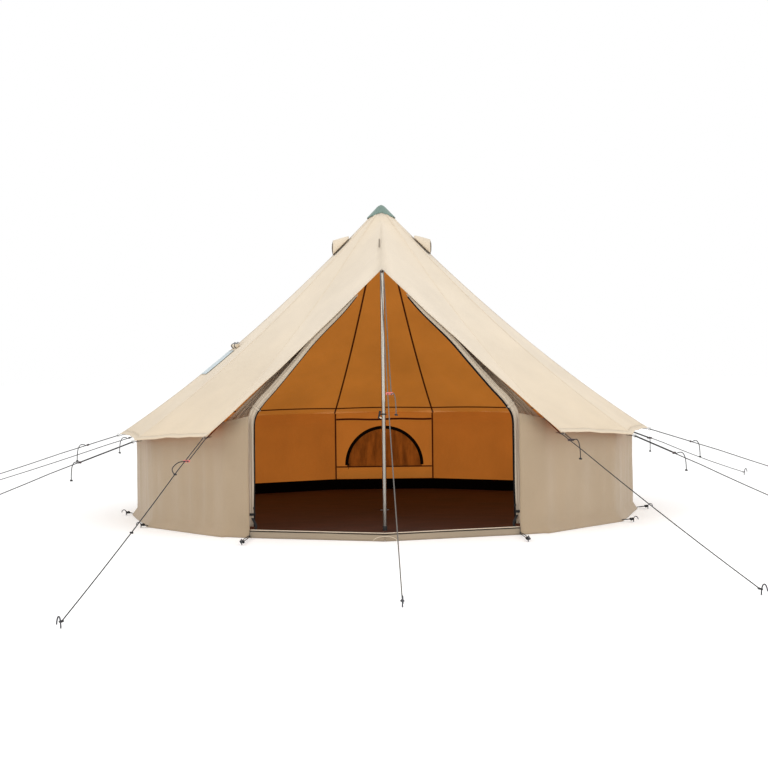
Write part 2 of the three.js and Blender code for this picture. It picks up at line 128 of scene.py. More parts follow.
def make_light():
    world = bpy.data.worlds.new("studio")
    world.use_nodes = True
    background = world.node_tree.nodes["Background"]
    background.inputs["Color"].default_value = (1, 1, 1, 1)
    background.inputs["Strength"].default_value = 1.0
    bpy.context.scene.world = world
    for name, spot, energy, size in LAMPS:
        data = bpy.data.lights.new(name, "AREA")
        data.energy = energy
        data.size = size
        data.color = LAMP_COLOUR
        lamp = link_object(name, data)
        lamp.location = spot
        lamp.rotation_mode = "QUATERNION"
        lamp.rotation_quaternion = (UP - Vector(spot)).to_track_quat("-Z", "Y")
    bpy.context.scene.view_settings.view_transform = "Standard"


def make_floor():
    mesh = bpy.data.meshes.new("studio_floor")
    r = FLOOR_REACH
    corners = [(x, y, FLOOR_DROP) for x, y in ((-r, -r), (r, -r), (r, r), (-r, r))]
    mesh.from_pydata(corners, [], [(0, 1, 2, 3)])
    studio = link_object("studio_floor", mesh)
    material, _, _, shader = new_material("studio_floor", FLOOR_COLOUR, 1.0)
    shader.inputs["Emission Color"].default_value = (1, 1, 1, 1)
    shader.inputs["Emission Strength"].default_value = FLOOR_GLOW
    mesh.materials.append(material)


# ---------------------------------------------------------------- procedural materials
BROAD_SCALE = 1.7
SLUB_SCALE = 420
CREASE_SCALE = 7
CREASE_STRETCH = (1, 1, 0.35)
BAND_SCALE = 0.314
STITCH_PITCH = 0.006
STITCH_ROWS = (0.2, 0.8)
STITCH_HALF = 0.05
STITCH_DASH = 0.65
BRAID_SCALE = 120
GLOSS_RANGE = 0.1
ALONG_POLE = (1, 1, 0.05)


def new_material(name, colour, roughness, metallic=0.0):
    mat = bpy.data.materials.new(name)
    mat.use_nodes = True
    shader = mat.node_tree.nodes["Principled BSDF"]
    shader.inputs["Base Color"].default_value = (*colour, 1)
    shader.inputs["Roughness"].default_value = roughness
    shader.inputs["Metallic"].default_value = metallic
    return mat, mat.node_tree.nodes, mat.node_tree.links, shader


def texture_place(nodes, links, scale=(1, 1, 1)):
    coords = nodes.new("ShaderNodeTexCoord")
    mapping = nodes.new("ShaderNodeMapping")
    mapping.inputs["Scale"].default_value = scale
    links.new(coords.outputs["Object"], mapping.inputs["Vector"])
    return mapping.outputs["Vector"]


def noise_node(nodes, links, vector, scale, detail=4.0, rough=0.55):
    node = nodes.new("ShaderNodeTexNoise")
    node.inputs["Scale"].default_value = scale
    node.inputs["Detail"].default_value = detail
    node.inputs["Roughness"].default_value = rough
    links.new(vector, node.inputs["Vector"])
    return node.outputs["Fac"]


def ramp_node(nodes, links, fac, low, high):
    """Fades from one colour to the next; low and high are (place, colour)."""
    node = nodes.new("ShaderNodeValToRGB")
    for element, (at, colour) in zip(node.color_ramp.elements, (low, high)):
        element.position = at
        element.color = (*colour, 1)
    links.new(fac, node.inputs["Fac"])
    return node.outputs["Color"]


def shade(colour, factor):
    return tuple(min(1.0, c * factor) for c in colour)


def varied(nodes, links, fac, colour, less, more, low=0.3, high=0.7):
    return ramp_node(nodes, links, fac, (low, shade(colour, less)), (high, shade(colour, more)))


def maths(nodes, links, kind, a, b=0.0):
    node = nodes.new("ShaderNodeMath")
    node.operation = kind
    for i, value in enumerate((a, b)):
        if isinstance(value, (int, float)):
            node.inputs[i].default_value = value
        else:
            links.new(value, node.inputs[i])
    return node.outputs[0]


def mix_node(nodes, links, a, b, factor=1.0, blend="MULTIPLY"):
    """Blends two colours; each input is a socket or a constant."""
    node = nodes.new("ShaderNodeMix")
    node.data_type = "RGBA"
    node.blend_type = blend
    for word, value in (("Factor", factor), ("A", a), ("B", b)):
        if isinstance(value, bpy.types.NodeSocket):
            links.new(value, node.inputs[word])
        else:
            node.inputs[word].default_value = value
    return node.outputs["Result"]


def weave_height(nodes, links, vector, pitch):
    """Height of a plain weave: threads along three crossed axes, so any slope of cloth shows two of them."""
    total = None
    for axis in ("X", "Y", "Z"):
        wave = nodes.new("ShaderNodeTexWave")
        wave.wave_type = "BANDS"
        wave.bands_direction = axis
        wave.inputs["Scale"].default_value = BAND_SCALE / pitch
        wave.inputs["Distortion"].default_value = 0.6
        wave.inputs["Detail"].default_value = 1.0
        links.new(vector, wave.inputs["Vector"])
        out = wave.outputs["Fac"]
        total = out if total is None else maths(nodes, links, "ADD", total, out)
    return total


def bump_node(nodes, links, height, strength, distance, normal=None):
    node = nodes.new("ShaderNodeBump")
    node.inputs["Strength"].default_value = strength
    node.inputs["Distance"].default_value = distance
    links.new(height, node.inputs["Height"])
    if normal is not None:
        links.new(normal, node.inputs["Normal"])
    return node.outputs["Normal"]


def cloth_material(name, colour, roughness=0.92, pitch=0.0012, mottling=0.06, glow=0.0, low=None,
                   sheen=0.25, gloss=0.5, streaks=None):
    """Woven cotton: broad and fine colour variation, a plain weave, soft creases and a tint low down."""
    mat, nodes, links, shader = new_material(name, colour, roughness)
    vector = texture_place(nodes, links)
    broad = noise_node(nodes, links, vector, BROAD_SCALE)
    tone = varied(nodes, links, broad, colour, 1 - mottling, 1 + mottling)
    fine = noise_node(nodes, links, vector, SLUB_SCALE, 2.0)
    slubs = ramp_node(nodes, links, fine, (0.35, (0.9, 0.9, 0.9)), (0.65, (1.0, 1.0, 1.0)))
    result = mix_node(nodes, links, tone, slubs)
    # Painted shade and light: darker and lighter streaks, where asked for.
    if streaks is not None:
        result = painted_streak_shade(nodes, links, result, streaks)
    if low is not None:
        result = tint_low(nodes, links, result, *low)
    links.new(result, shader.inputs["Base Color"])
    # Painted light: the cloth glows with its own colour, standing for daylight shining through it.
    if glow:
        links.new(result, shader.inputs["Emission Color"])
        shader.inputs["Emission Strength"].default_value = glow
    shader.inputs["Sheen Weight"].default_value = sheen
    shader.inputs["Specular IOR Level"].default_value = gloss
    weave = weave_height(nodes, links, vector, pitch)
    fine_bump = bump_node(nodes, links, weave, 0.35, 0.0004)
    crease = noise_node(nodes, links, texture_place(nodes, links, CREASE_STRETCH), CREASE_SCALE, 5.0, 0.6)
    links.new(bump_node(nodes, links, crease, 0.35, 0.012, fine_bump), shader.inputs["Normal"])
    return mat


def painted_streak_shade(nodes, links, colour, stretch):
    """Painted shade and light: long soft darker and lighter streaks standing for the shaded and lit sides of
    creases and folds, short along the axes where stretch is large.
    """
    grain = noise_node(nodes, links, texture_place(nodes, links, stretch), 1.0, 5.0, 0.65)
    tone = ramp_node(nodes, links, grain, (0.36, (0.55, 0.52, 0.50)), (0.64, (1.35, 1.35, 1.35)))
    return mix_node(nodes, links, colour, tone)


def tint_low(nodes, links, colour, tint, low_z, high_z):
    """Blends a tint in from high_z down to low_z."""
    coords = nodes.new("ShaderNodeTexCoord")
    split = nodes.new("ShaderNodeSeparateXYZ")
    links.new(coords.outputs["Object"], split.inputs["Vector"])
    fade = nodes.new("ShaderNodeMapRange")
    fade.inputs["From Min"].default_value = high_z
    fade.inputs["From Max"].default_value = low_z
    links.new(split.outputs["Z"], fade.inputs["Value"])
    return mix_node(nodes, links, colour, (*tint, 1), fade.outputs["Result"])


def plain_material(name, colour, roughness, metallic=0.0, scale=60, variation=0.15, bump=0.2,
                   stretch=(1, 1, 1), gloss=0.5):
    """Moulded plastic, webbing or steel: slight colour and gloss variation with a fine surface."""
    mat, nodes, links, shader = new_material(name, colour, roughness, metallic)
    grain = noise_node(nodes, links, texture_place(nodes, links, stretch), scale)
    tone = varied(nodes, links, grain, colour, 1 - variation, 1 + variation)
    links.new(tone, shader.inputs["Base Color"])
    shader.inputs["Specular IOR Level"].default_value = gloss
    rough = nodes.new("ShaderNodeMapRange")
    rough.inputs["To Min"].default_value = max(0.05, roughness - GLOSS_RANGE)
    rough.inputs["To Max"].default_value = min(1.0, roughness + GLOSS_RANGE)
    links.new(grain, rough.inputs["Value"])
    links.new(rough.outputs["Result"], shader.inputs["Roughness"])
    links.new(bump_node(nodes, links, grain, bump, 0.0006), shader.inputs["Normal"])
    return mat


def stitched_material(name, colour, thread):
    """A seam tape with two rows of stitches; UVs run along the tape in metres and across it from 0 to 1."""
    mat, nodes, links, shader = new_material(name, colour, 0.9)
    coords = nodes.new("ShaderNodeTexCoord")
    split = nodes.new("ShaderNodeSeparateXYZ")
    links.new(coords.outputs["UV"], split.inputs["Vector"])
    pitches = maths(nodes, links, "DIVIDE", split.outputs["X"], STITCH_PITCH)
    dash = maths(nodes, links, "LESS_THAN", maths(nodes, links, "FRACT", pitches), STITCH_DASH)
    rows = None
    for at in STITCH_ROWS:
        off = maths(nodes, links, "ABSOLUTE", maths(nodes, links, "SUBTRACT", split.outputs["Y"], at))
        row = maths(nodes, links, "LESS_THAN", off, STITCH_HALF)
        rows = row if rows is None else maths(nodes, links, "MAXIMUM", rows, row)
    stitch = maths(nodes, links, "MULTIPLY", dash, rows)
    vector = texture_place(nodes, links)
    tone = varied(nodes, links, noise_node(nodes, links, vector, 30), colour, 0.92, 1.06)
    links.new(mix_node(nodes, links, tone, (*thread, 1), stitch, "MIX"), shader.inputs["Base Color"])
    normal = bump_node(nodes, links, weave_height(nodes, links, vector, 0.0012), 0.3, 0.0004)
    links.new(bump_node(nodes, links, stitch, 0.6, 0.001, normal), shader.inputs["Normal"])
    return mat


def rope_material(name, colour):
    """Braided cord: crossed diagonal strands along the rope."""
    mat, nodes, links, shader = new_material(name, colour, 0.85)
    vector = texture_place(nodes, links)
    height = None
    for direction in ("X", "DIAGONAL"):
        wave = nodes.new("ShaderNodeTexWave")
        wave.bands_direction = direction
        wave.inputs["Scale"].default_value = BRAID_SCALE
        wave.inputs["Distortion"].default_value = 1.5
        links.new(vector, wave.inputs["Vector"])
        out = wave.outputs["Fac"]
        height = out if height is None else maths(nodes, links, "MULTIPLY", height, out)
    links.new(varied(nodes, links, height, colour, 0.6, 1.5, 0.1, 0.8), shader.inputs["Base Color"])
    links.new(bump_node(nodes, links, height, 0.6, 0.0008), shader.inputs["Normal"])
    return mat


def make_materials():
    cream = (0.72, 0.615, 0.475)
    # Painted shade: the wall canvas colour, darker than the roof's cream for the light falling from above on
    # the upright walls.
    shaded_wall_tone = (0.385, 0.290, 0.190)
    amber = (0.395, 0.145, 0.021)
    roof_low = ((0.94, 0.895, 0.815), 0.8, 1.9)
    lining_low = ((1.0, 0.97, 0.90), 0.9, 2.3)
    window = (0.235, 0.068, 0.008)
    floor = (0.040, 0.0095, 0.0042)
    dark_net = {"roughness": 0.9, "pitch": 0.002, "sheen": 0.0}
    return {
        "roof": cloth_material("roof_canvas", cream, low=roof_low),
        # Painted shade: the walls are coloured darker than the roof's cream canvas for the light falling from
        # above on upright cloth.
        "wall": cloth_material("wall_canvas_painted_shade", shaded_wall_tone, mottling=0.05),
        "door": cloth_material("door_canvas", (0.53, 0.445, 0.34)),
        # Painted shade: the gathered door canvas is coloured darker for the shade under the porch.
        "gather": cloth_material("gathered_canvas_painted_shade", (0.37, 0.275, 0.19)),
        # Painted light: the linings glow with their own colour for daylight through the canvas; the wall
        # lining is a dimmer and the band behind the window a brighter copy.
        "lining": cloth_material("roof_lining", amber, glow=0.85, mottling=0.10, low=lining_low),
        "wall_lining": cloth_material("wall_lining", (0.355, 0.117, 0.0162), glow=0.70, mottling=0.10),
        "band_lining": cloth_material("band_lining", (0.40, 0.138, 0.020), glow=0.72, mottling=0.08),
        # Painted light: the window cover glows for daylight through it, and its streaks paint darker and
        # lighter bands on it.
        "window": cloth_material("window_cover", window, glow=0.50, streaks=(12.0, 1.0, 2.5)),
        "cap": cloth_material("cap_cloth", (0.17, 0.25, 0.215), pitch=0.0008),
        "patch": cloth_material("stove_patch", (0.52, 0.60, 0.63), pitch=0.0009),
        # Painted shade and light: the floor's streaks stand for the shaded and lit sides of its wrinkles,
        # flattened in perspective.
        "floor": cloth_material("floor_sheet", floor, 0.85, 0.002, sheen=0.0, streaks=(2.2, 7.0, 1.0)),
        "rim": cloth_material("rim_sheet", (0.0012, 0.001, 0.0014), 1.0, 0.002, sheen=0.0, gloss=0.08),
        # Partly the netting's own dark colour, partly painted shade of the hood's inside seen through it.
        "vent_net": cloth_material("vent_netting", (0.085, 0.055, 0.025), **dark_net),
        "sill": cloth_material("sill_canvas", (0.32, 0.252, 0.176)),
        "seam": stitched_material("roof_seam", (0.68, 0.575, 0.44), (0.78, 0.70, 0.58)),
        # Painted shade: the wall seam is coloured darker than the roof seam, like the wall canvas it sits on.
        "wall_seam": stitched_material("wall_seam", (0.345, 0.262, 0.172), (0.46, 0.38, 0.28)),
        "window_net": cloth_material("window_net", (0.075, 0.048, 0.03), **dark_net),
        "inner_seam": stitched_material("inner_seam", (0.11, 0.022, 0.008), (0.22, 0.08, 0.04)),
        "zip": plain_material("zip_tape", (0.005, 0.0045, 0.005), 0.85, scale=400, gloss=0.15),
        "strap": plain_material("webbing", (0.012, 0.012, 0.013), 0.8, scale=300, bump=0.5),
        "slit": plain_material("ridge_tab", (0.12, 0.085, 0.055), 0.8, scale=300, bump=0.5),
        "steel": plain_material("bright_steel", (0.42, 0.40, 0.36), 0.36, 1.0, 90, 0.10, 0.05, ALONG_POLE),
        "grey_steel": plain_material("dull_steel", (0.10, 0.09, 0.08), 0.42, 1.0, 90, 0.15, 0.1, ALONG_POLE),
        "peg": plain_material("peg_steel", (0.08, 0.08, 0.09), 0.45, 0.9, 120, 0.3, 0.2),
        "runner": plain_material("runner_red", (0.66, 0.15, 0.14), 0.4, 0.0, 80, 0.08, 0.1),
        "dark_runner": plain_material("runner_dark", (0.045, 0.02, 0.022), 0.4, 0.0, 80, 0.12, 0.1),
        "rope": rope_material("braid", (0.028, 0.028, 0.030)),
        "pale_rope": rope_material("pale_braid", (0.15, 0.135, 0.12)),
        "rubber": plain_material("rubber", (0.02, 0.02, 0.02), 0.75, 0.0, 100),
    }


# ---------------------------------------------------------------- mesh helpers
MERGE_DISTANCE = 1e-6
TAPE_ACROSS = (0.0, 1.0, 1.0, 0.0, 0.0)


def add_object(name, mesh, material, body=HULL, smooth=True):
    obj = link_object(name, mesh)
    mesh.materials.append(material)
    if smooth:
        for polygon in mesh.polygons:
            polygon.use_smooth = True
    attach(obj, body)
    return obj


def grid_mesh(name, grid, closed=False):
    """Quads through a grid of points; closed joins the last column to the first."""
    rows, columns = len(grid), len(grid[0])
    faces = []
    for i in range(rows - 1):
        low, high = i * columns, (i + 1) * columns
        for j in range(columns if closed else columns - 1):
            k = (j + 1) % columns
            faces.append((low + j, low + k, high + k, high + j))
    mesh = bpy.data.meshes.new(name)
    mesh.from_pydata([tuple(v) for row in grid for v in row], [], faces)
    mesh.update()
    return mesh


def thicken(obj, thickness, offset):
    """Turns a single surface into a thin closed sheet."""
    modifier = obj.modifiers.new("cloth", "SOLIDIFY")
    modifier.thickness = thickness
    modifier.offset = offset
    depsgraph = bpy.context.evaluated_depsgraph_get()
    mesh = bpy.data.meshes.new_from_object(obj.evaluated_get(depsgraph))
    obj.modifiers.clear()
    obj.data = mesh


def cloth_piece(name, grid, thickness, material, offset=0, closed=False):
    obj = add_object(name, grid_mesh(name, grid, closed), material)
    thicken(obj, thickness, offset)
    return obj


def clean_mesh(mesh, merge=False, close=True):
    """Merges doubled points, closes open ends and turns every face outwards."""
    bm = bmesh.new()
    bm.from_mesh(mesh)
    if merge:
        bmesh.ops.remove_doubles(bm, verts=bm.verts, dist=MERGE_DISTANCE)
    if close:
        bmesh.ops.holes_fill(bm, edges=[e for e in bm.edges if e.is_boundary])
    bmesh.ops.recalc_face_normals(bm, faces=bm.faces)
    bm.to_mesh(mesh)
    bm.free()


def sweep_mesh(name, points, sides, ups, outline, across=None, smooth=True):
    """Closed body swept along points; outline lists (across, up) places on each point's own side and up axes.
    UVs run along the body in metres and round it by the values in across, or evenly from 0 to 1."""
    bm = bmesh.new()
    uv_layer = bm.loops.layers.uv.new("uv")
    rings = [[bm.verts.new(p + s * a + u * b) for a, b in outline] for p, s, u in zip(points, sides, ups)]
    along = [0.0]
    for a, b in zip(points, points[1:]):
        along.append(along[-1] + (b - a).length)
    count = len(outline)
    across = across or [j / count for j in range(count + 1)]
    for i in range(len(rings) - 1):
        for j in range(count):
            k = (j + 1) % count
            face = bm.faces.new((rings[i][j], rings[i][k], rings[i + 1][k], rings[i + 1][j]))
            face.smooth = smooth
            for loop, (row, column) in zip(face.loops, ((i, j), (i, j + 1), (i + 1, j + 1), (i + 1, j))):
                loop[uv_layer].uv = (along[row], across[column])
    bm.faces.new(rings[0][::-1])
    bm.faces.new(rings[-1])
    bmesh.ops.recalc_face_normals(bm, faces=bm.faces)
    mesh = bpy.data.meshes.new(name)
    bm.to_mesh(mesh)
    bm.free()
    return mesh


def tape(name, points, sides, size, material, ups):
    """A flat tape of (width, thickness) along points, lying across sides, with its stitched face out."""
    w, t = size[0] / 2, size[1] / 2
    outline = [(-w, -t), (w, -t), (w, t), (-w, t)]
    mesh = sweep_mesh(name, points, sides, ups, outline, TAPE_ACROSS, smooth=False)
    return add_object(name, mesh, material, smooth=False)


def straight_tape(name, points, side, size, material, up):
    return tape(name, points, [side] * len(points), size, material, [up] * len(points))


def round_rod(name, points, diameter, material, body=HULL, sides=12):
    """A smooth round rod through points, as a curve of one spline."""
    curve = bpy.data.curves.new(name, "CURVE")
    curve.dimensions = "3D"
    curve.bevel_depth = diameter / 2
    curve.bevel_resolution = max(1, sides // 4)
    curve.use_fill_caps = True
    spline = curve.splines.new("POLY")
    spline.points.add(len(points) - 1)
    for target, point in zip(spline.points, points):
        target.co = (*point, 1)
    obj = link_object(name, curve)
    curve.materials.append(material)
    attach(obj, body)
    return obj


def smooth_path(points, per_span=6):
    """Catmull-Rom points through a short list."""
    result = []
    padded = [points[0] * 2 - points[1], *points, points[-1] * 2 - points[-2]]
    for i in range(1, len(padded) - 2):
        p0, p1, p2, p3 = padded[i - 1 : i + 3]
        for step in range(per_span):
            t = step / per_span
            squared = (2 * p0 - 5 * p1 + 4 * p2 - p3) * t * t
            cubed = (3 * p1 - p0 - 3 * p2 + p3) * t**3
            result.append(0.5 * (2 * p1 + (p2 - p0) * t + squared + cubed))
    result.append(points[-1])
    return result


def round_points(centre, across, up, steps, turn=2 * math.pi):
    """Points round centre from across towards up, which carry the radii."""
    angles = [turn * k / steps for k in range(steps + 1)]
    return [centre + across * math.cos(a) + up * math.sin(a) for a in angles]


def heading(points, i):
    """Unit direction of a path at one of its points."""
    return (points[min(i + 1, len(points) - 1)] - points[max(i - 1, 0)]).normalized()


def mirrored(side, point):
    return Vector((side * point.x, point.y, point.z))


# ---------------------------------------------------------------- roof surface
ROOF_ROWS = 44
GORE_COLUMNS = 12
PORCH_FADE = 6
CLOTH_T = 0.0022
LINING_GAP = 0.010
LINING_END = 0.985
PORCH_CUT = 0.10
CANOPY_NODES = ("canopy_front_left", "canopy_front_right", "canopy_left", "canopy_right", "canopy_back")
SEAM_STEPS = 40
SEAM_LIFT = 0.0022
INNER_SEAM_DROP = 0.0165
GORE_TAPE = (0.022, 0.0018)
INNER_TAPE = (0.017, 0.003)
HEM_STEPS = 24
HEM_TOP_S = 0.984
HEM_LIFT = 0.0032
HEM_OUT = 0.004
HEM_T = 0.006


def slack(w):
    """A parabola across a panel: nothing at its two edges and 1 in the middle."""
    return 4 * w * (1 - w)


def cone_height(s, low=EAVE_Z):
    return APEX_Z + (low - APEX_Z) * s - 4 * ROOF_SAG * s * (1 - s)


def seam(angle, s):
    front = abs(abs(angle) - FRONT_ANGLE) < 0.01
    radius = FRONT_EAVE_R if front else EAVE_R
    return place(radius * s, angle, cone_height(s, FRONT_EAVE_Z if front else EAVE_Z))


def seam_any(angle, s):
    return seam(angle if angle <= 180 else angle - 360, s)


def ridge(s):
    run = max(0.0, (s - CAP_EDGE_S) / (1 - CAP_EDGE_S))
    point = seam(0, min(s, CAP_EDGE_S)).lerp(PEAK, run)
    point.z -= 4 * RIDGE_SAG * run * (1 - run)
    return point


def panel_point(from_angle, to_angle, w, s):
    """A point of a gore between two seams, with its scalloped hem and its sag."""
    low = s - HEM_SCALLOP * 4 * w * (1 - w) * s * s
    point = seam_any(from_angle, low).lerp(seam_any(to_angle, low), w)
    point.z -= slack(w) * GORE_SAG * low
    return point


def gore_point(gore, w, s):
    return panel_point(corner(gore), corner(gore + 1), w, s)


def porch_point(side, w, s):
    point = ridge(s).lerp(seam(side * FRONT_ANGLE, s), w)
    point.z -= slack(w) * PORCH_SAG * s
    return point


def cloth_wander(point, w, s):
    """Soft creases: pulls towards the seams and the eave, and slight slack between them."""
    loose = noise.noise(point * 1.6) * 0.010 + noise.noise(point * 5.0) * 0.003
    pulls = math.sin(w * math.pi * 6) * 0.0035 * s**4 + math.sin(w * math.pi * 10) * 0.0035 * (1 - s) ** 6
    return slack(w) * (loose * min(1, 3 * s) + pulls)


def porch_share(w):
    """Full over most of the porch and fading out at its ridge and its corner seam."""
    return min(1.0, PORCH_FADE * w) * min(1.0, PORCH_FADE * (1 - w))


def roof_grid(drop, last=1.0, porch_cut=0.0):
    """Rows down the roof and columns all the way round: right porch, the gores, then left porch."""
    grid = []
    for i in range(ROOF_ROWS + 1):
        s = COLLAR_S + (last - COLLAR_S) * i / ROOF_ROWS
        row = []
        for side, columns in ((1, range(GORE_COLUMNS)), (-1, range(GORE_COLUMNS, 0, -1))):
            for j in columns:
                w = j / GORE_COLUMNS
                cut = i / ROOF_ROWS * porch_share(w) * porch_cut
                row.append((porch_point(side, w, s - cut), w))
            if side > 0:
                spans = [(gore, j / GORE_COLUMNS) for gore in range(GORES) for j in range(GORE_COLUMNS)]
                row += [(gore_point(gore, w, s), w) for gore, w in spans]
        grid.append([p + UP * (cloth_wander(p, w, s) - drop) for p, w in row])
    return grid


def make_canopy(mats):
    outer = grid_mesh("canopy_cloth", roof_grid(0.0), closed=True)
    canopy = add_object("canopy_cloth", outer, mats["roof"])
    thicken(canopy, CLOTH_T, -1)
    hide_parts(*CANOPY_NODES)
    inner = roof_grid(LINING_GAP, LINING_END, PORCH_CUT)
    lining = cloth_piece("canopy_lining", inner, CLOTH_T, mats["lining"], -1, closed=True)


def seam_tapes(mats):
    """Felled seams down every gore line, outside and in."""
    steps = [COLLAR_S + (1 - COLLAR_S) * i / SEAM_STEPS for i in range(SEAM_STEPS + 1)]
    for index in range(GORES + 1):
        angle = corner(index)
        points = [seam_any(angle, s) for s in steps]
        side = place(1, angle + 90, 0)
        sides = [side] * len(points)
        ups = []
        for i in range(len(points)):
            up = (points[min(i + 1, SEAM_STEPS)] - points[max(i - 1, 0)]).cross(side).normalized()
            ups.append(up if up.z > 0 else -up)
        outer = [p + u * SEAM_LIFT for p, u in zip(points, ups)]
        tape(f"gore_seam_{index}", outer, sides, GORE_TAPE, mats["seam"], ups)
        inner = [p - u * INNER_SEAM_DROP for p, u in zip(points, ups)]
        tape(f"inner_seam_{index}", inner, sides, INNER_TAPE, mats["inner_seam"], [-u for u in ups])


def hem_band(mats):
    """The doubled hem along the eaves and up both slants of the porch."""
    stations = [(porch_point, 1, j / HEM_STEPS) for j in range(HEM_STEPS + 1)]
    for gore in range(GORES):
        stations += [(gore_point, gore, j / GORE_COLUMNS) for j in range(1, GORE_COLUMNS + 1)]
    stations += [(porch_point, -1, j / HEM_STEPS) for j in range(HEM_STEPS - 1, -1, -1)]
    rows = []
    for point_at, part, w in stations:
        edge = point_at(part, w, 1.0)
        inside = point_at(part, w, HEM_TOP_S)
        out = (edge - inside).normalized()
        lift = UP * (HEM_LIFT + cloth_wander(edge, w, 1.0))
        rows.append([inside + lift, edge + lift, edge + out * HEM_OUT + lift])
    grid = [[row[k] for row in rows] for k in range(3)]
    cloth_piece("eave_hem", grid, HEM_T, mats["roof"])


# ---------------------------------------------------------------- walls
WALL_COLUMNS = 22
STRIP_COLUMNS = 8
STRIP_FLARE = 0.35
STRIP_FACING = 24
BACK_GORE = 5
BACK_CALM = 0.12
BACK_FADE = 0.10
BACK_DIP = -0.003
WALL_LEVELS = (0.0015, 0.02, 0.05, 0.075, 0.11, 0.17, 0.25, 0.34, 0.43, 0.52, 0.61, 0.70, 0.78, 0.845, 1.0)
FOOT_BAND = 0.1
WALL_TOP_DROP = 0.027
CLOTH_INSET = 0.002
LINING_INSET = 0.0072
LINING_FIRST_LEVEL = 3
LINING_TRIM = 2


def wall_radius(z):
    if z >= SKIRT_Z:
        return WALL_R
    return BASE_R + (WALL_R - BASE_R) * (z / SKIRT_Z)


def wall_folds(distance, z, height):
    """Soft upright folds, strongest at mid height, with a few pulls rising from the pegged corners."""
    level = math.sin(math.pi * min(1, max(0, z / height)) ** 0.8)
    wide = math.sin(distance * 9.0 + 1.3 * math.sin(distance * 2.3))
    narrow = math.sin(distance * 23.0 + 2.0 * math.sin(distance * 3.1))
    sharp = abs(math.sin(distance * 13.0 + 1.7 * math.sin(distance * 4.1))) ** 3
    drift = noise.noise(Vector((distance * 2, z * 3, 0)))
    return level * (0.009 * wide + 0.007 * narrow - 0.011 * sharp) + 0.006 * drift


def wall_top(gore, w):
    """The roof's underside above the wall."""
    s = WALL_R / EAVE_R
    front = WALL_R / FRONT_EAVE_R
    if gore == 0:
        s = front * (1 - w) + s * w
    if gore == GORES - 1:
        s = s * (1 - w) + front * w
    return gore_point(gore, w, s).z - WALL_TOP_DROP


def fold_share(w):
    """How much of the folds the window's gore keeps: all at its corners, little in the middle."""
    return BACK_CALM + (1 - BACK_CALM) * max(0.0, 1 - min(w, 1 - w) / BACK_FADE)


def wall_columns():
    """(kind, gore or side, share across it), from the doorway's right edge round to its left edge."""
    columns = [("strip", 1, j / STRIP_COLUMNS) for j in range(STRIP_COLUMNS)]
    for gore in range(GORES):
        columns += [("gore", gore, j / WALL_COLUMNS) for j in range(WALL_COLUMNS)]
    columns.append(("gore", GORES - 1, 1.0))
    return columns + [("strip", -1, j / STRIP_COLUMNS) for j in range(STRIP_COLUMNS - 1, -1, -1)]


def wall_grid(inset):
    grid = [[] for _ in WALL_LEVELS]
    distance = 0.0
    last = None
    for kind, index, w in wall_columns():
        gored = kind == "gore"
        if gored:
            low = place(WALL_R, corner(index), 0).lerp(place(WALL_R, corner(index + 1), 0), w)
            top = wall_top(index, w)
            out = Vector((low.x, low.y, 0)).normalized()
        else:
            low = Vector((index * DOOR_HALF, JAMB_Y, 0)).lerp(place(WALL_R, index * FRONT_ANGLE, 0), w)
            top = SHOULDER_TOP + (wall_top(0, 0.0) - SHOULDER_TOP) * w
            out = place(1, index * STRIP_FACING, 0)
        if last is not None:
            distance += (low - last).length
        last = low
        by_window = gored and (index == BACK_GORE or (index == BACK_GORE + 1 and w == 0))
        for i, share in enumerate(WALL_LEVELS):
            z = share
            if share >= FOOT_BAND:
                z = FOOT_BAND + (top - FOOT_BAND) * (share - FOOT_BAND) / (1 - FOOT_BAND)
            flare = (wall_radius(z) - WALL_R) * (1 if gored else STRIP_FLARE)
            fold = wall_folds(distance, z, top)
            if gored and index == BACK_GORE:
                fold *= fold_share(w)
            if by_window:
                fold = max(fold, BACK_DIP)
            grid[i].append(low + out * (flare + fold - inset) + UP * z)
    return grid


def make_walls(mats):
    outer = grid_mesh("wall_cloth", wall_grid(CLOTH_INSET))
    cloth = add_object("wall_cloth", outer, mats["wall"])
    thicken(cloth, CLOTH_T, -1)
    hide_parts("wall_left", "wall_right", "wall_back")
    rows = wall_grid(LINING_INSET)[LINING_FIRST_LEVEL:]
    inner = grid_mesh("wall_lining", [row[LINING_TRIM:-LINING_TRIM] for row in rows])
    lining = add_object("wall_lining", inner, mats["wall_lining"])
    thicken(lining, CLOTH_T, -1)


# ---------------------------------------------------------------- groundsheet
FLOOR_COLUMNS = 168
FLOOR_ROWS = 40
FLOOR_INNER = 0.02
FLOOR_SHARE = 0.997
FLOOR_Z = 0.0035
FLOOR_T = 0.002
RIM_T = 0.0025
SILL_ANGLE = 28


def floor_ring(scale, z_of):
    row = []
    for k in range(FLOOR_COLUMNS):
        angle = 360.0 * k / FLOOR_COLUMNS
        row.append(polygon_point(angle, SHEET_R) * scale + UP * z_of(angle))
    return row


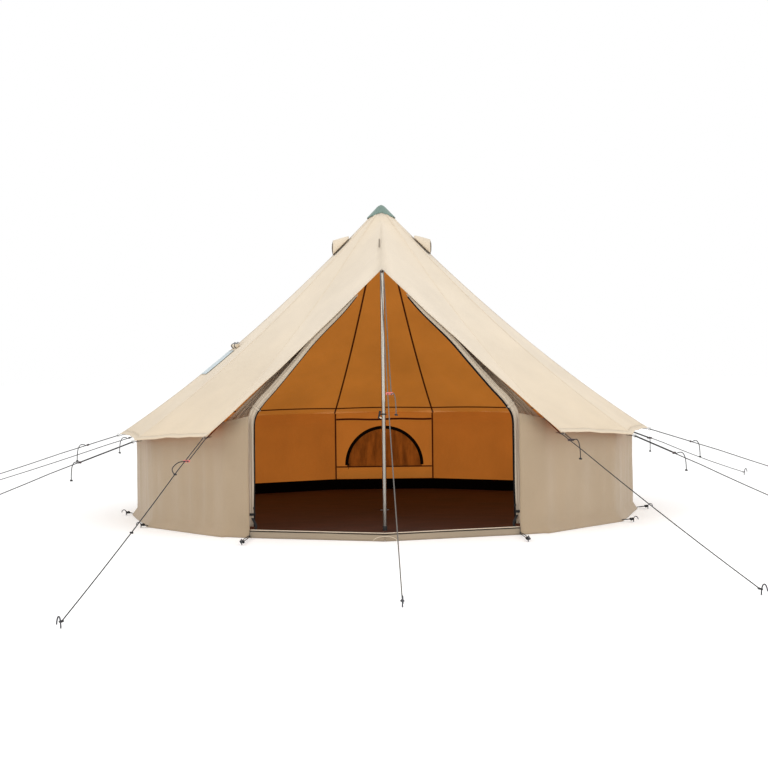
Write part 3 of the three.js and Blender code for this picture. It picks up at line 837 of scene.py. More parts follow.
def make_groundsheet(mats):
    """Floor of the tub, with soft wrinkles, and its black upstand."""
    grid = []
    for i in range(FLOOR_ROWS + 1):
        share = FLOOR_INNER + (1 - FLOOR_INNER) * i / FLOOR_ROWS
        row = floor_ring(share * FLOOR_SHARE, lambda a: FLOOR_Z)
        grid.append([p + UP * floor_wrinkle(p) for p in row] if i < FLOOR_ROWS else row)
    mesh = grid_mesh("floor_sheet", grid, closed=True)
    floor = add_object("floor_sheet", mesh, mats["floor"])
    thicken(floor, FLOOR_T, -1)
    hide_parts("groundsheet")
    rim_grid = [
        floor_ring(0.994, lambda a: 0.003),
        floor_ring(0.996, lambda a: 0.02),
        floor_ring(0.994, lambda a: rim_height(a) * 0.6),
        floor_ring(0.993, rim_height),
    ]
    rim = cloth_piece("floor_upstand", rim_grid, RIM_T, mats["rim"], closed=True)


def floor_wrinkle(p):
    broad = noise.noise(p * 2.5) + 0.6 * noise.noise(p * 7.0)
    return FLOOR_Z + 0.004 * broad * 0.5 + 0.002 * noise.noise(p * 18)


def rim_height(angle):
    off = min(angle, 360 - angle)
    rise = min(1.0, max(0.0, (off - SILL_ANGLE) / (FRONT_ANGLE - SILL_ANGLE)))
    return SILL_RIM + (SHEET_RIM - SILL_RIM) * rise


def polygon_point(angle, radius):
    """A point of the floor's outline: straight edges between the corners."""
    angle %= 360
    marks = [0.0] + [corner(i) for i in range(GORES + 1)] + [360.0]
    for a, b in zip(marks, marks[1:]):
        if a <= angle <= b + 1e-9:
            return place(radius, a, 0).lerp(place(radius, b, 0), (angle - a) / (b - a))
    return place(radius, angle, 0)


# ---------------------------------------------------------------- tied-back doors
# (x, y, z, width, depth) down the gathered door
DOOR_STATIONS = [
    (0.215, -1.806, 2.088, 0.010, 0.012),
    (0.350, -1.852, 1.940, 0.030, 0.020),
    (0.594, -1.905, 1.699, 0.044, 0.026),
    (0.760, -1.950, 1.503, 0.048, 0.032),
    (0.941, -2.000, 1.290, 0.054, 0.036),
    (1.063, -2.022, 1.156, 0.060, 0.038),
    (1.138, -2.034, 1.030, 0.062, 0.038),
    (1.148, -2.036, 0.840, 0.060, 0.036),
    (1.150, -2.036, 0.500, 0.060, 0.034),
    (1.157, -2.036, 0.090, 0.054, 0.036),
]
DOOR_SPAN_STEPS = 8
BUNDLE_FOLDS = 5
BUNDLE_STEPS = 48
GATHER_END = 1.0
GATHER_STEPS = 16
GATHER_T = 0.002
GATHER_LAST = (Vector((DOOR_HALF + 0.03, -2.05, 0.95)), Vector((1.47, -1.895, 0.90)))
LEFT_ZIP_TOP = 1.12
LEFT_ZIP_TAPE = (0.011, 0.0016)
RIGHT_ZIP_TAPE = (0.016, 0.0016)
ZIP_COIL_D = 0.006
DOOR_TIES = ((0.60, (0.016, 0.002), "door", "canvas_roof"), (0.985, (0.022, 0.002), "strap", "zip_black"))
TIE_STEPS = 24
STRAP_ROUTE = ((1.142, 0.165), (1.124, 0.128), (1.112, 0.090), (1.124, 0.052), (1.130, 0.024))
STRAP_Y = -2.064
STRAP_TAPE = (0.022, 0.003)


def cross_heading(ahead):
    """Level direction across a path that lies in a plane facing the front."""
    return Vector((-ahead.z, 0, ahead.x)).normalized()


def make_door(side, mats):
    """A door panel gathered into long folds, from the peak down the slant and the side of the doorway."""
    name = "left" if side < 0 else "right"
    centres = smooth_path([Vector(s[:3]) for s in DOOR_STATIONS], DOOR_SPAN_STEPS)
    sizes = smooth_path([Vector((s[3], s[4], 0)) for s in DOOR_STATIONS], DOOR_SPAN_STEPS)
    rows = []
    for i, (centre, size) in enumerate(zip(centres, sizes)):
        across = cross_heading(heading(centres, i))
        row = []
        for j in range(BUNDLE_STEPS):
            a = 2 * math.pi * j / BUNDLE_STEPS
            fold = 1 + 0.16 * math.sin(BUNDLE_FOLDS * a + 0.09 * i) + 0.07 * math.sin(11 * a - 0.05 * i)
            fold *= 1 + 0.10 * noise.noise(centre * 6 + Vector((a, 0, 0)))
            point = centre + across * (math.cos(a) * size.x / 2 * fold)
            point.y += math.sin(a) * size.y / 2 * fold
            row.append(mirrored(side, point))
        rows.append(row)
    mesh = grid_mesh(f"door_cloth_{name}", rows, closed=True)
    clean_mesh(mesh)
    door = add_object(f"door_cloth_{name}", mesh, mats["door"])
    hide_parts(f"door_{name}")
    for make in (door_gather, door_zip, door_ties):
        make(side, name, centres, sizes, mats)


def door_gather(side, name, centres, sizes, mats):
    """Gathered canvas that closes the gap between the tied-back door and the underside of the porch, coloured
    darker as painted shade under the roof.
    """
    rows = []
    for centre, size in zip(centres, sizes):
        if centre.z < GATHER_END:
            break
        w = min(0.93, max(0.03, (PEAK.z - centre.z) / (PEAK.z - FRONT_EAVE_Z) + 0.03))
        low = min(1.0, max(0.0, (1.45 - centre.z) / 0.35))
        outer = porch_point(side, min(0.97, w + 0.05 * low), 0.885 + 0.065 * low) - UP * 0.030
        outer.y += (max(outer.y, -1.985) - outer.y) * low
        inner = mirrored(side, centre + Vector((size.x * 0.25, 0.012, size.x * 0.25)))
        rows.append((inner, outer))
    rows.append(tuple(mirrored(side, point) for point in GATHER_LAST))
    grid = []
    for i, (inner, outer) in enumerate(rows):
        row = []
        for k in range(GATHER_STEPS + 1):
            u = k / GATHER_STEPS
            bow = math.sin(math.pi * u)
            fold = bow**0.5 * 0.016 * math.sin(u * 22 + 0.09 * i)
            row.append(inner.lerp(outer, u) + Vector((0, fold + 0.02 * bow, -0.012 * bow)))
        grid.append(row)
    cloth_piece(f"door_gather_{name}", grid, GATHER_T, mats["gather"])


def door_zip(side, name, centres, sizes, mats):
    """Black zip tape with its coil along the doorway edge of the wall and porch."""
    points, sides = [], []
    for i in range(1, len(centres)):
        centre, size = centres[i], sizes[i]
        across = cross_heading(heading(centres, i))
        if across.x > 0:
            across = -across
        point = centre + across * (size.x * 0.5 + 0.002) + Vector((0, -size.y * 0.5 + 0.004, 0))
        points.append(mirrored(side, point))
        sides.append(mirrored(side, across))
    start = next(i for i, p in enumerate(points) if p.z < LEFT_ZIP_TOP) if side < 0 else 0
    size = LEFT_ZIP_TAPE if side < 0 else RIGHT_ZIP_TAPE
    shown = points[start:]
    tape(f"door_zip_tape_{name}", shown, sides[start:], size, mats["zip"], [FRONT] * len(shown))
    coil = [p + FRONT * 0.002 for p in points]
    round_rod(f"door_zip_coil_{name}", coil, ZIP_COIL_D, mats["zip"])


def door_ties(side, name, centres, sizes, mats):
    """A cloth tie inside the shoulder and a black strap round the foot of the gathered door."""
    for number, (share, tie_size, mat, word) in enumerate(DOOR_TIES):
        i = int(share * (len(centres) - 1))
        centre, size = centres[i], sizes[i]
        ahead = heading(centres, i)
        across = cross_heading(ahead)
        loop, ups = [], []
        for k in range(TIE_STEPS + 1):
            a = 2 * math.pi * k / TIE_STEPS
            point = centre + across * (math.cos(a) * (size.x / 2 + 0.010))
            point.y += math.sin(a) * (size.y / 2 + 0.007)
            loop.append(mirrored(side, point))
            ups.append(mirrored(side, across * math.cos(a) + BACK * math.sin(a)))
        sides = [Vector((side * ahead.x, 0, ahead.z))] * len(loop)
        tape(f"door_tie_{name}_{number}", loop, sides, tie_size, mats[mat], ups)
    hang = smooth_path([Vector((side * x, STRAP_Y, z)) for x, z in STRAP_ROUTE], 4)
    straight_tape(f"door_strap_{name}", hang, RIGHT, STRAP_TAPE, mats["strap"], FRONT)


# ---------------------------------------------------------------- sill
SILL_STEPS = 20
SILL_RING = BASE_R - 0.012
SILL_PROFILE = ((0.0015, 0.008), (0.02, 0.004), (0.04, 0.0), (0.056, -0.008), (0.060, -0.022))
SILL_T = 0.002
SILL_PIPING = (-0.016, 0.066, 0.009)
SILL_ZIP = (-0.006, 0.058, 0.006)
SILL_PATCH = (0.10, 0.042)


def make_sill(mats):
    """The doorway's sill: a canvas band, a pale piping, a dark strip behind it and a half-round patch."""
    for side, name in ((-1, "left"), (1, "right")):
        front = place(SILL_RING, 0, 0)
        post = place(SILL_RING, side * FRONT_ANGLE, 0)
        points = []
        for k in range(SILL_STEPS + 1):
            x = side * DOOR_HALF * k / SILL_STEPS
            points.append(front.lerp(post, abs(x) / abs(post.x)))
        out = place(1, side * FRONT_ANGLE / 2, 0)
        rows = []
        for z, push in SILL_PROFILE:
            ripples = [push + 0.0025 * noise.noise(p * 6 + Vector((0, 0, z * 9))) for p in points]
            rows.append([p + out * ripple + UP * z for p, ripple in zip(points, ripples)])
        band = cloth_piece(f"sill_band_{name}", rows, SILL_T, mats["sill"])
        for word, (push, z, diameter), mat, slot in (
            ("piping", SILL_PIPING, "seam", "canvas_roof"),
            ("zip", SILL_ZIP, "zip", "zip_black"),
        ):
            line = [p + out * push + UP * z for p in points]
            round_rod(f"sill_{word}_{name}", line, diameter, mats[mat])
    centre = Vector((0, -BASE_R + 0.004, 0.002))
    patch = round_points(centre, RIGHT * SILL_PATCH[0], UP * SILL_PATCH[1], 16, math.pi)
    round_rod("sill_patch_edge", patch, 0.004, mats["seam"])


# ---------------------------------------------------------------- rear window and inner seams
WINDOW_R = 0.43
WINDOW_Z = 0.282
WINDOW_BASE = 0.262
WINDOW_COLUMNS = 36
ARCH_STEPS = 48
FOOT_SHARES = (-1.0, -0.5, 0.0, 0.5, 1.0)
FRAME_OUT = 0.012
FRAME_TAPE = (0.034, 0.002)
PANEL_LEVELS = (0.135, 0.25, 0.42, 0.6, 0.78, 0.875)
PANEL_COLUMNS = 12
HEAD_SEAM_S = 0.915
HEAD_SEAM_DROP = 0.017
HEAD_TAPE = (0.018, 0.003)
WALL_SEAM_TAPE = (0.016, 0.003)
WALL_SEAM_IN = 0.030
WALL_SEAM_TOP = 0.872


def window_grid(rows, y_at):
    """Rows filling the window's half round from its foot to its arch; y_at gives each point's depth."""
    grid = []
    for i in range(rows + 1):
        row = []
        for k in range(WINDOW_COLUMNS + 1):
            a = math.pi * k / WINDOW_COLUMNS
            edge = Vector((math.cos(a) * WINDOW_R, 0, WINDOW_Z + math.sin(a) * WINDOW_R))
            point = Vector((math.cos(a) * WINDOW_R, 0, WINDOW_BASE)).lerp(edge, i / rows)
            point.y = y_at(point)
            row.append(point)
        grid.append(row)
    return grid


def inner_details(mats):
    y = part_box("rear_window_cover")[0].y - 0.005

    def cover_depth(p):
        return y - 0.003 * abs(noise.noise(p * 8)) - 0.002 * (0.5 + 0.5 * math.sin(p.x * 34 + p.z * 5))

    cover = cloth_piece("window_cover_cloth", window_grid(12, cover_depth), 0.002, mats["window"])
    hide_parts("rear_window_cover")
    arch, sides = [], []
    for k in range(ARCH_STEPS + 1):
        a = math.pi * k / ARCH_STEPS
        arch.append(Vector((math.cos(a) * WINDOW_R, y - 0.008, WINDOW_Z + math.sin(a) * WINDOW_R)))
        sides.append(Vector((math.cos(a), 0, math.sin(a))))
    tape("window_zip_tape", arch, sides, (0.036, 0.004), mats["zip"], [FRONT] * len(arch))
    half = panel_half()
    base = [Vector((half * share, y - 0.007, WINDOW_BASE)) for share in FOOT_SHARES]
    straight_tape("window_foot_tape", base, UP, (0.014, 0.003), mats["inner_seam"], FRONT)
    header(mats, y)
    window_outside(mats)
    wall_seams(mats)


def window_outside(mats):
    """The rear window from outside: a fine dark net in an arched, stitched frame on the back wall."""
    y = math.cos(math.radians(GORE_ANGLE / 2)) * WALL_R + 0.005
    rows = window_grid(8, lambda p: y + 0.0012 * noise.noise(p * 9))
    cloth_piece("window_net", rows, 0.0012, mats["window_net"])
    reach = WINDOW_R + FRAME_OUT
    points = [Vector((-1.0 * reach, y + 0.003, WINDOW_BASE - FRAME_OUT))]
    for k in range(ARCH_STEPS + 1):
        share = -math.cos(math.pi * k / ARCH_STEPS)
        rise = math.sqrt(max(0.0, 1 - share * share))
        points.append(Vector((share * reach, y + 0.003, WINDOW_Z + rise * reach)))
    points.append(Vector((1.0 * reach, y + 0.003, WINDOW_BASE - FRAME_OUT)))
    aheads = [heading(points, i) for i in range(len(points))]
    sides = [Vector((ahead.z, 0, -ahead.x)) for ahead in aheads]
    tape("window_frame", points, sides, FRAME_TAPE, mats["wall_seam"], [BACK] * len(points))
    base = [Vector((share * (WINDOW_R + 0.028), y + 0.004, WINDOW_BASE - 0.006)) for share in FOOT_SHARES]
    straight_tape("window_frame_foot", base, UP, FRAME_TAPE, mats["wall_seam"], BACK)


def panel_half():
    """Half the width of the rear panel between its two upright seams."""
    return math.sin(math.radians(GORE_ANGLE / 2)) * (WALL_R - 0.02) - 0.012


def header(mats, y):
    """The band behind the window, lighter and glowing brighter than the wall lining as painted light, and a
    rolled strip above it.
    """
    half = panel_half()
    across = [half * (k / PANEL_COLUMNS * 2 - 1) for k in range(PANEL_COLUMNS + 1)]
    rows = []
    for z in PANEL_LEVELS:
        depths = [y + 0.0015 - 0.001 * noise.noise(Vector((k, z * 4, 2))) for k in range(PANEL_COLUMNS + 1)]
        rows.append([Vector((x, depth, z)) for x, depth in zip(across, depths)])
    band = cloth_piece("window_panel_lining", rows, 0.0015, mats["band_lining"])
    roll = [Vector((x, y - 0.010, 0.805 + 0.004 * math.sin(k))) for k, x in enumerate(across)]
    straight_tape("window_header", roll, UP, (0.02, 0.006), mats["inner_seam"], FRONT)


def wall_seams(mats):
    """Dark felled seams on the inside: uprights at the wall corners and the join of wall and roof."""
    for index in range(GORES + 1):
        angle = corner(index)
        low = place(WALL_R - WALL_SEAM_IN, angle, SHEET_RIM)
        high = place(WALL_R - WALL_SEAM_IN, angle, WALL_SEAM_TOP)
        side = place(1, angle + 90, 0)
        points = [low.lerp(high, k / 6) for k in range(7)]
        inward = -place(1, angle, 0)
        straight_tape(f"wall_seam_{index}", points, side, WALL_SEAM_TAPE, mats["inner_seam"], inward)
    for gore in range(GORES):
        points = [gore_point(gore, k / 8, HEAD_SEAM_S) - UP * HEAD_SEAM_DROP for k in range(9)]
        lower = gore_point(gore, 0.5, HEAD_SEAM_S + 0.02) - points[4] - UP * HEAD_SEAM_DROP
        down = lower.normalized()
        under = down.cross(points[8] - points[0]).normalized()
        under = -under if under.z > 0 else under
        straight_tape(f"wall_head_seam_{gore}", points, down, HEAD_TAPE, mats["inner_seam"], under)


# ---------------------------------------------------------------- poles, cap, vents and stove patch
def lathe(name, profile, centre, material, steps=40):
    """A closed body turned about the upright axis through centre; profile is a list of (radius, z)."""
    rows = []
    for radius, z in profile:
        angles = [2 * math.pi * k / steps for k in range(steps)]
        rows.append([centre + Vector((radius * math.cos(a), radius * math.sin(a), z)) for a in angles])
    mesh = grid_mesh(name, rows, closed=True)
    clean_mesh(mesh, merge=True)
    obj = add_object(name, mesh, material)
    for polygon in obj.data.polygons:
        polygon.use_smooth = len(polygon.vertices) <= 4
    return obj


POLE_R = {"centre_pole": 0.019, "door_pole": 0.018}


def make_pole(node, centre, joints, material, mats):
    low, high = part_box(node)
    r = POLE_R[node]
    profile = [(r - 0.004, low.z), (r - 0.001, low.z + 0.004), (r, low.z + 0.04)]
    for z in joints:
        profile += [(r, z - 0.012), (r + 0.0013, z - 0.009), (r + 0.0015, z)]
        profile += [(r + 0.0013, z + 0.009), (r, z + 0.012)]
    profile += [(r, high.z - 0.01), (r - 0.004, high.z)]
    pole = lathe(f"{node}_tube", profile, centre, material)
    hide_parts(node)
    foot = [(r + 0.001, low.z), (r + 0.0022, low.z + 0.004)]
    foot += [(r + 0.0022, low.z + 0.045), (r + 0.0006, low.z + 0.05)]
    lathe(f"{node}_foot", foot, centre, mats["rubber"])
    for number, z in enumerate(joints):
        button = [centre + Vector((0, out - r, z + 0.03)) for out in (-0.003, 0.002)]
        round_rod(f"{node}_button_{number}", button, 0.007, mats["steel"])


CAP_R = 0.14
CAP_RISE = 0.022
CAP_CUT = 0.42
CAP_STEPS = 64
CAP_ROWS = 14


def cap_reach(a):
    """The cap's edge is cut back in a curve over the front ridge."""
    off = math.atan2(math.sin(a + math.pi / 2), math.cos(a + math.pi / 2))
    return 1 - CAP_CUT * math.exp(-((off / 0.85) ** 2))


def make_cap(mats):
    """The apex cap: a short cone of darker cloth with a turned hem over the roof's collar."""
    rows = []
    for i in range(CAP_ROWS + 1):
        share = i / CAP_ROWS
        row = []
        for k in range(CAP_STEPS):
            a = 2 * math.pi * k / CAP_STEPS
            radius = 0.004 + (CAP_R * cap_reach(a) - 0.004) * share
            z = cone_height(radius / EAVE_R) + CAP_RISE
            grain = noise.noise(Vector((math.cos(a), math.sin(a), share)) * 4)
            ripple = 0.0022 * math.sin(12 * a) * share + 0.001 * grain
            z -= 0.016 * math.exp(-((radius / 0.02) ** 2))
            z -= 0.012 * share**3 * (1 - cap_reach(a)) / CAP_CUT
            row.append(Vector((radius * math.cos(a), radius * math.sin(a), z + ripple - 0.002)))
        rows.append(row)
    mesh = grid_mesh("apex_cap_cloth", rows, closed=True)
    bm = bmesh.new()
    bm.from_mesh(mesh)
    open_edges = [e for e in bm.edges if e.is_boundary]
    inner = [e for e in open_edges if all(Vector((v.co.x, v.co.y)).length < 0.02 for v in e.verts)]
    bmesh.ops.holes_fill(bm, edges=inner)
    bm.to_mesh(mesh)
    bm.free()
    cap = add_object("apex_cap_cloth", mesh, mats["cap"])
    thicken(cap, 0.003, -1)
    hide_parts("apex_cap")
    rim = []
    for k in range(CAP_STEPS + 1):
        a = 2 * math.pi * k / CAP_STEPS
        reach = CAP_R * cap_reach(a)
        z = cone_height(reach / EAVE_R) + CAP_RISE - 0.003 + 0.0022 * math.sin(12 * a)
        z -= 0.012 * (1 - cap_reach(a)) / CAP_CUT
        rim.append(Vector((reach * math.cos(a), reach * math.sin(a), z)))
    round_rod("apex_cap_hem", rim, 0.007, mats["cap"])


VENT_S = (0.125, 0.185)
VENT_HALF = 0.095
VENT_FOOT = 0.006
VENT_RISE = (0.028, 0.144)
VENT_ROWS = 12
VENT_STEPS = 24


def make_vent(side, mats):
    """A small hood held up over a vent, with its dark mouth towards the eave: the mouth's netting is dark
    partly for its own colour and partly as painted shade inside the hood.
    """
    name = "left" if side < 0 else "right"
    angle = side * corner(2)
    across = place(1, angle + 90, 0)
    turns = [math.pi * k / VENT_STEPS for k in range(VENT_STEPS + 1)]
    rows = []
    for i in range(VENT_ROWS + 1):
        t = i / VENT_ROWS
        centre = seam_any(angle, VENT_S[0] + (VENT_S[1] - VENT_S[0]) * t)
        rise = VENT_RISE[0] + (VENT_RISE[1] - VENT_RISE[0]) * t**0.9
        row = []
        for a in turns:
            lift = VENT_FOOT + (rise - VENT_FOOT) * (math.sin(a) ** 0.75)
            row.append(centre + across * (-math.cos(a) * VENT_HALF) + UP * lift)
        rows.append(row)
    hood = cloth_piece(f"vent_hood_cloth_{name}", rows, 0.003, mats["roof"], -1)
    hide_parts(f"vent_hood_{name}")
    round_rod(f"vent_lip_{name}", rows[-1], 0.006, mats["seam"])
    out = place(1, angle, 0)
    foot = [seam_any(angle, VENT_S[1]) + across * (-math.cos(a) * VENT_HALF) for a in turns]
    mouth = []
    for share in (0.0, 0.25, 0.5, 0.75, 1.0):
        bulge = out * (0.012 * math.sin(math.pi * share) ** 0.6)
        lift = UP * (0.004 * (1 - share))
        ends = zip(foot, rows[-1], turns)
        mouth.append([f.lerp(p, share) + bulge * math.sin(a) + lift for f, p, a in ends])
    cloth_piece(f"vent_netting_{name}", mouth, 0.0015, mats["vent_net"])


FLAP_R = 0.019
FLAP_TAIL = ((0.022, 0.0), (0.034, 0.012), (0.022, 0.03))


def make_stove_patch(mats):
    """The heat-proof patch and the rolled rain flap tied above it."""
    def at(w, s, lift):
        return panel_point(-corner(1), -corner(2), w, s) + UP * lift

    rows = []
    for i in range(11):
        lifts = [0.012 + 0.001 * math.sin(k * 1.7 + i) for k in range(13)]
        rows.append([at(0.70 + 0.26 * k / 12, 0.585 + 0.11 * i / 10, lift) for k, lift in enumerate(lifts)])
    patch = cloth_piece("stove_patch_cloth", rows, 0.003, mats["patch"])
    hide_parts("stove_jack")
    points = [at(0.66 + 0.31 * k / 14, 0.573, 0.030) for k in range(15)]
    out = (points[-1] - points[0]).normalized().cross(UP).normalized()
    outline = []
    for k in range(24):
        a = 2 * math.pi * k / 24
        r = FLAP_R * (1 + 0.10 * math.sin(3 * a))
        outline.append((math.cos(a) * r, math.sin(a) * r))
    mesh = sweep_mesh("stove_flap_roll", points, [out] * 15, [UP] * 15, outline)
    roll = add_object("stove_flap_roll", mesh, mats["roof"])
    for number, k in enumerate((3, 11)):
        ring = round_points(points[k], out * 0.023, UP * 0.023, 16)
        round_rod(f"stove_flap_tie_{number}", ring, 0.007, mats["strap"])
        tail = [points[k] + UP * up + out * aside for up, aside in FLAP_TAIL]
        round_rod(f"stove_flap_tail_{number}", smooth_path(tail), 0.006, mats["strap"])


# ---------------------------------------------------------------- guy ropes, runners and pegs
GUYS = [
    ("front_left", -FRONT_ANGLE, (-1.90, -6.40), 0.753),
    ("front_right", FRONT_ANGLE, (2.41, -5.50), 0.190),
    ("left_1", -corner(1), (-4.30, -2.39), 0.538),
    ("right_1", corner(1), (3.94, -2.39), 0.420),
    ("left_2", -corner(2), (-5.11, 0.03), 0.330),
    ("right_2", corner(2), (4.99, -0.30), 0.430),
    ("left_3", -corner(3), (-4.89, 1.18), 0.330),
    ("right_3", corner(3), (4.42, 3.72), 0.930),
    ("left_4", -corner(4), (-2.86, 3.44), 0.330),
    ("right_4", corner(4), (2.86, 3.44), 0.330),
    ("rear_left", -corner(5), (-1.03, 4.38), 0.330),
    ("rear_right", corner(5), (1.03, 4.38), 0.330),
]
FRONT_PEG = (0.105, -5.80)
FRONT_RUNNER = 2.09
SLIDE_BEVEL = 0.0018
SLIDE_HOLE_R = 0.0050
RED_RUNNERS = ("front", "front_left")
TIED_BACK = "front_left"
EYE_OUT = 0.016
RUN_STEPS = 7
TURN_STEPS = 12
# (along, aside, down) from the runner to the tail's end
HANGING_TAIL = ((0.020, 0.008, -0.010), (0.052, 0.020, -0.006), (0.074, 0.028, 0.034), (0.082, 0.032, 0.096),
                (0.084, 0.033, 0.150))
TIED_TAIL = ((0.045, 0.002, -0.018), (0.115, -0.052, -0.024), (0.225, -0.074, -0.012),
             (0.325, -0.050, -0.006), (0.372, -0.022, 0.0))
MID_KNOTS = {"front_left": (2.56,)}


def guy_list():
    """(name, eye, peg, distance of the runner from the eye) for every rope."""
    result = []
    for name, angle, ground, runner in GUYS:
        front = abs(angle) == FRONT_ANGLE
        radius = (FRONT_EAVE_R if front else EAVE_R) + EYE_OUT
        z = (FRONT_EAVE_Z if front else EAVE_Z) - 0.010
        result.append((name, place(radius, angle, z), Vector((*ground, PEG_LOOP_Z)), runner))
    eye = Vector((0, PEAK.y - EYE_OUT - 0.006, PEAK.z - 0.014))
    result.append(("front", eye, Vector((*FRONT_PEG, PEG_LOOP_Z)), FRONT_RUNNER))
    return result


def line_frame(eye, peg):
    along = peg - eye
    length = along.length
    along.normalize()
    across = along.cross(UP).normalized()
    return along, across, length


def rope_points(name, eye, peg, runner):
    """Peg, up the long strand, round the eave ring, down the short strand and its runner to the tail."""
    along, across, length = line_frame(eye, peg)
    half = STRAND_GAP / 2
    straight = runner + SLIDE_ROOM

    def at(distance, side):
        return eye + along * distance + across * (side * half)

    points = []
    for i in range(RUN_STEPS, -1, -1):
        v = i / RUN_STEPS
        point = at(straight + (length - straight) * v, 1) - across * (half * v)
        point.z -= 4 * LINE_SAG * v * (1 - v)
        points.append(point)
    points.append(at(TURN_RADIUS + TURN_EASE, 1))
    centre = at(TURN_RADIUS, 0)
    for i in range(TURN_STEPS + 1):
        a = math.pi * i / TURN_STEPS
        points.append(centre + (across * math.cos(a) - along * math.sin(a)) * TURN_RADIUS)
    points.append(at(TURN_RADIUS + TURN_EASE, -1))
    end = at(runner + RUNNER_LENGTH, -1)
    points.append(at(runner, -1))
    tail = [points[-1], end]
    tied = name == TIED_BACK
    for out, aside, down in TIED_TAIL if tied else HANGING_TAIL:
        point = end + along * out - across * aside
        point.z = (point.z if tied else end.z) - down
        tail.append(point)
    points += smooth_path(tail, 9 if tied else 4)[1:]
    return points


def knot(name, at, radius, material):
    """A small overhand knot: a trefoil of cord."""
    points = []
    for k in range(49):
        t = 2 * math.pi * k / 48
        x = math.sin(t) + 2 * math.sin(2 * t)
        y = math.cos(t) - 2 * math.cos(2 * t)
        points.append(at + Vector((x, y, -1.3 * math.sin(3 * t))) * (radius / 3))
    return round_rod(name, points, radius * 0.62, material, sides=8)


def make_guy(name, eye, peg, runner, mats):
    points = rope_points(name, eye, peg, runner)
    material = mats["pale_rope" if name == "front" else "rope"]
    rope = round_rod(f"rope_{name}", points, ROPE_D, material)
    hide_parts(f"guy_rope_{name}")
    return rope, points


def slide_loops(half_w, half_d, radius):
    """The slide's outline and the edges of its two holes, as (x, y) loops."""
    outline = []
    for turn, (x_side, y_side) in enumerate(((1, 1), (-1, 1), (-1, -1), (1, -1))):
        cx, cy = x_side * (half_w - radius), y_side * (half_d - radius)
        for k in range(9):
            a = math.radians(90 * turn + 90 * k / 8)
            outline.append((cx + radius * math.cos(a), cy + radius * math.sin(a)))
    loops = [outline]
    hole = SLIDE_HOLE_R + SLIDE_BEVEL
    angles = [2 * math.pi * k / 20 for k in range(20)]
    for side in (-1, 1):
        loops.append([(side * STRAND_GAP / 2 + hole * math.cos(a), hole * math.sin(a)) for a in angles])
    return loops


def runner_piece(name, eye, peg, mats):
    """A moulded slide with rounded edges and a hole for each strand."""
    along, across, _ = line_frame(eye, peg)
    up = across.cross(along).normalized()
    spots = [v.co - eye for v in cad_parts[f"runner_{name}"].data.vertices]
    axes = (across, up, along)
    lows = [min(s.dot(d) for s in spots) for d in axes]
    highs = [max(s.dot(d) for s in spots) for d in axes]
    spans = [high - low for low, high in zip(lows, highs)]
    middle = [(high + low) / 2 for low, high in zip(lows, highs)]
    centre = eye + across * middle[0] + up * middle[1] + along * middle[2]
    curve = bpy.data.curves.new(f"slide_{name}", "CURVE")
    curve.dimensions = "2D"
    curve.fill_mode = "BOTH"
    curve.extrude = spans[2] / 2 - SLIDE_BEVEL
    curve.bevel_depth = SLIDE_BEVEL
    curve.bevel_resolution = 3
    half_w, half_d = spans[0] / 2 - SLIDE_BEVEL, spans[1] / 2 - SLIDE_BEVEL
    for loop in slide_loops(half_w, half_d, half_d * 0.9):
        spline = curve.splines.new("POLY")
        spline.points.add(len(loop) - 1)
        spline.use_cyclic_u = True
        for target, (x, y) in zip(spline.points, loop):
            target.co = (x, y, 0, 1)
    maker = link_object("maker", curve)
    mesh = bpy.data.meshes.new_from_object(maker.evaluated_get(bpy.context.evaluated_depsgraph_get()))
    bpy.data.objects.remove(maker)
    basis = Matrix(axes).transposed().to_4x4()
    mesh.transform(Matrix.Translation(centre) @ basis)
    clean_mesh(mesh, merge=True, close=False)
    mesh.materials.clear()
    colour = mats["runner" if name in RED_RUNNERS else "dark_runner"]
    piece = add_object(f"slide_{name}", mesh, colour, f"runner_{name}", smooth=False)
    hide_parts(f"runner_{name}")
    return piece


# (away from the rope, height) up the peg and over its hook
PEG_ROUTE = ((0.022, 0.0004), (0.022, 0.014), (0.026, 0.036), (0.036, 0.060), (0.054, 0.074), (0.076, 0.074),
             (0.094, 0.058), (0.104, 0.036))


def peg_path(peg, away):
    return smooth_path([Vector((peg.x, peg.y, z)) + away * out for out, z in PEG_ROUTE], 5)


def peg_piece(name, eye, peg, mats):
    away = Vector((peg.x - eye.x, peg.y - eye.y, 0)).normalized()
    piece = round_rod(f"peg_rod_{name}", peg_path(peg, away), 0.0095, mats["peg"], sides=16)
    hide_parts(f"peg_{name}")
    stem = Vector((peg.x, peg.y, PEG_LOOP_Z)) + away * 0.013
    loop = round_points(stem, away * 0.019, Vector((-away.y, away.x, 0)) * 0.0105, 24)
    ring = round_rod(f"peg_loop_{name}", loop, ROPE_D * 0.95, mats["rope"])
    tie = knot(f"peg_knot_{name}", peg - away * 0.006, 0.009, mats["rope"])
    return piece, ring, tie


EAVE_STRAP = ((0.016, 0.0), (0.03, 0.001), (0.055, 0.003), (0.085, 0.006))


def eye_ring(name, eye, mats):
    """A steel ring at the eave, held by a webbing loop sewn under the hem."""
    inward = BACK if name == "front" else Vector((-eye.x, -eye.y, 0)).normalized()
    centre = eye - inward * 0.004
    ring = round_points(centre, inward * 0.014, UP * 0.014, 32)
    round_rod(f"eave_ring_{name}", ring, 0.004, mats["steel"])
    points = [centre + inward * run + UP * rise for run, rise in EAVE_STRAP]
    side = inward.cross(UP).normalized()
    straight_tape(f"eave_strap_{name}", points, side, (0.022, 0.003), mats["strap"], UP)


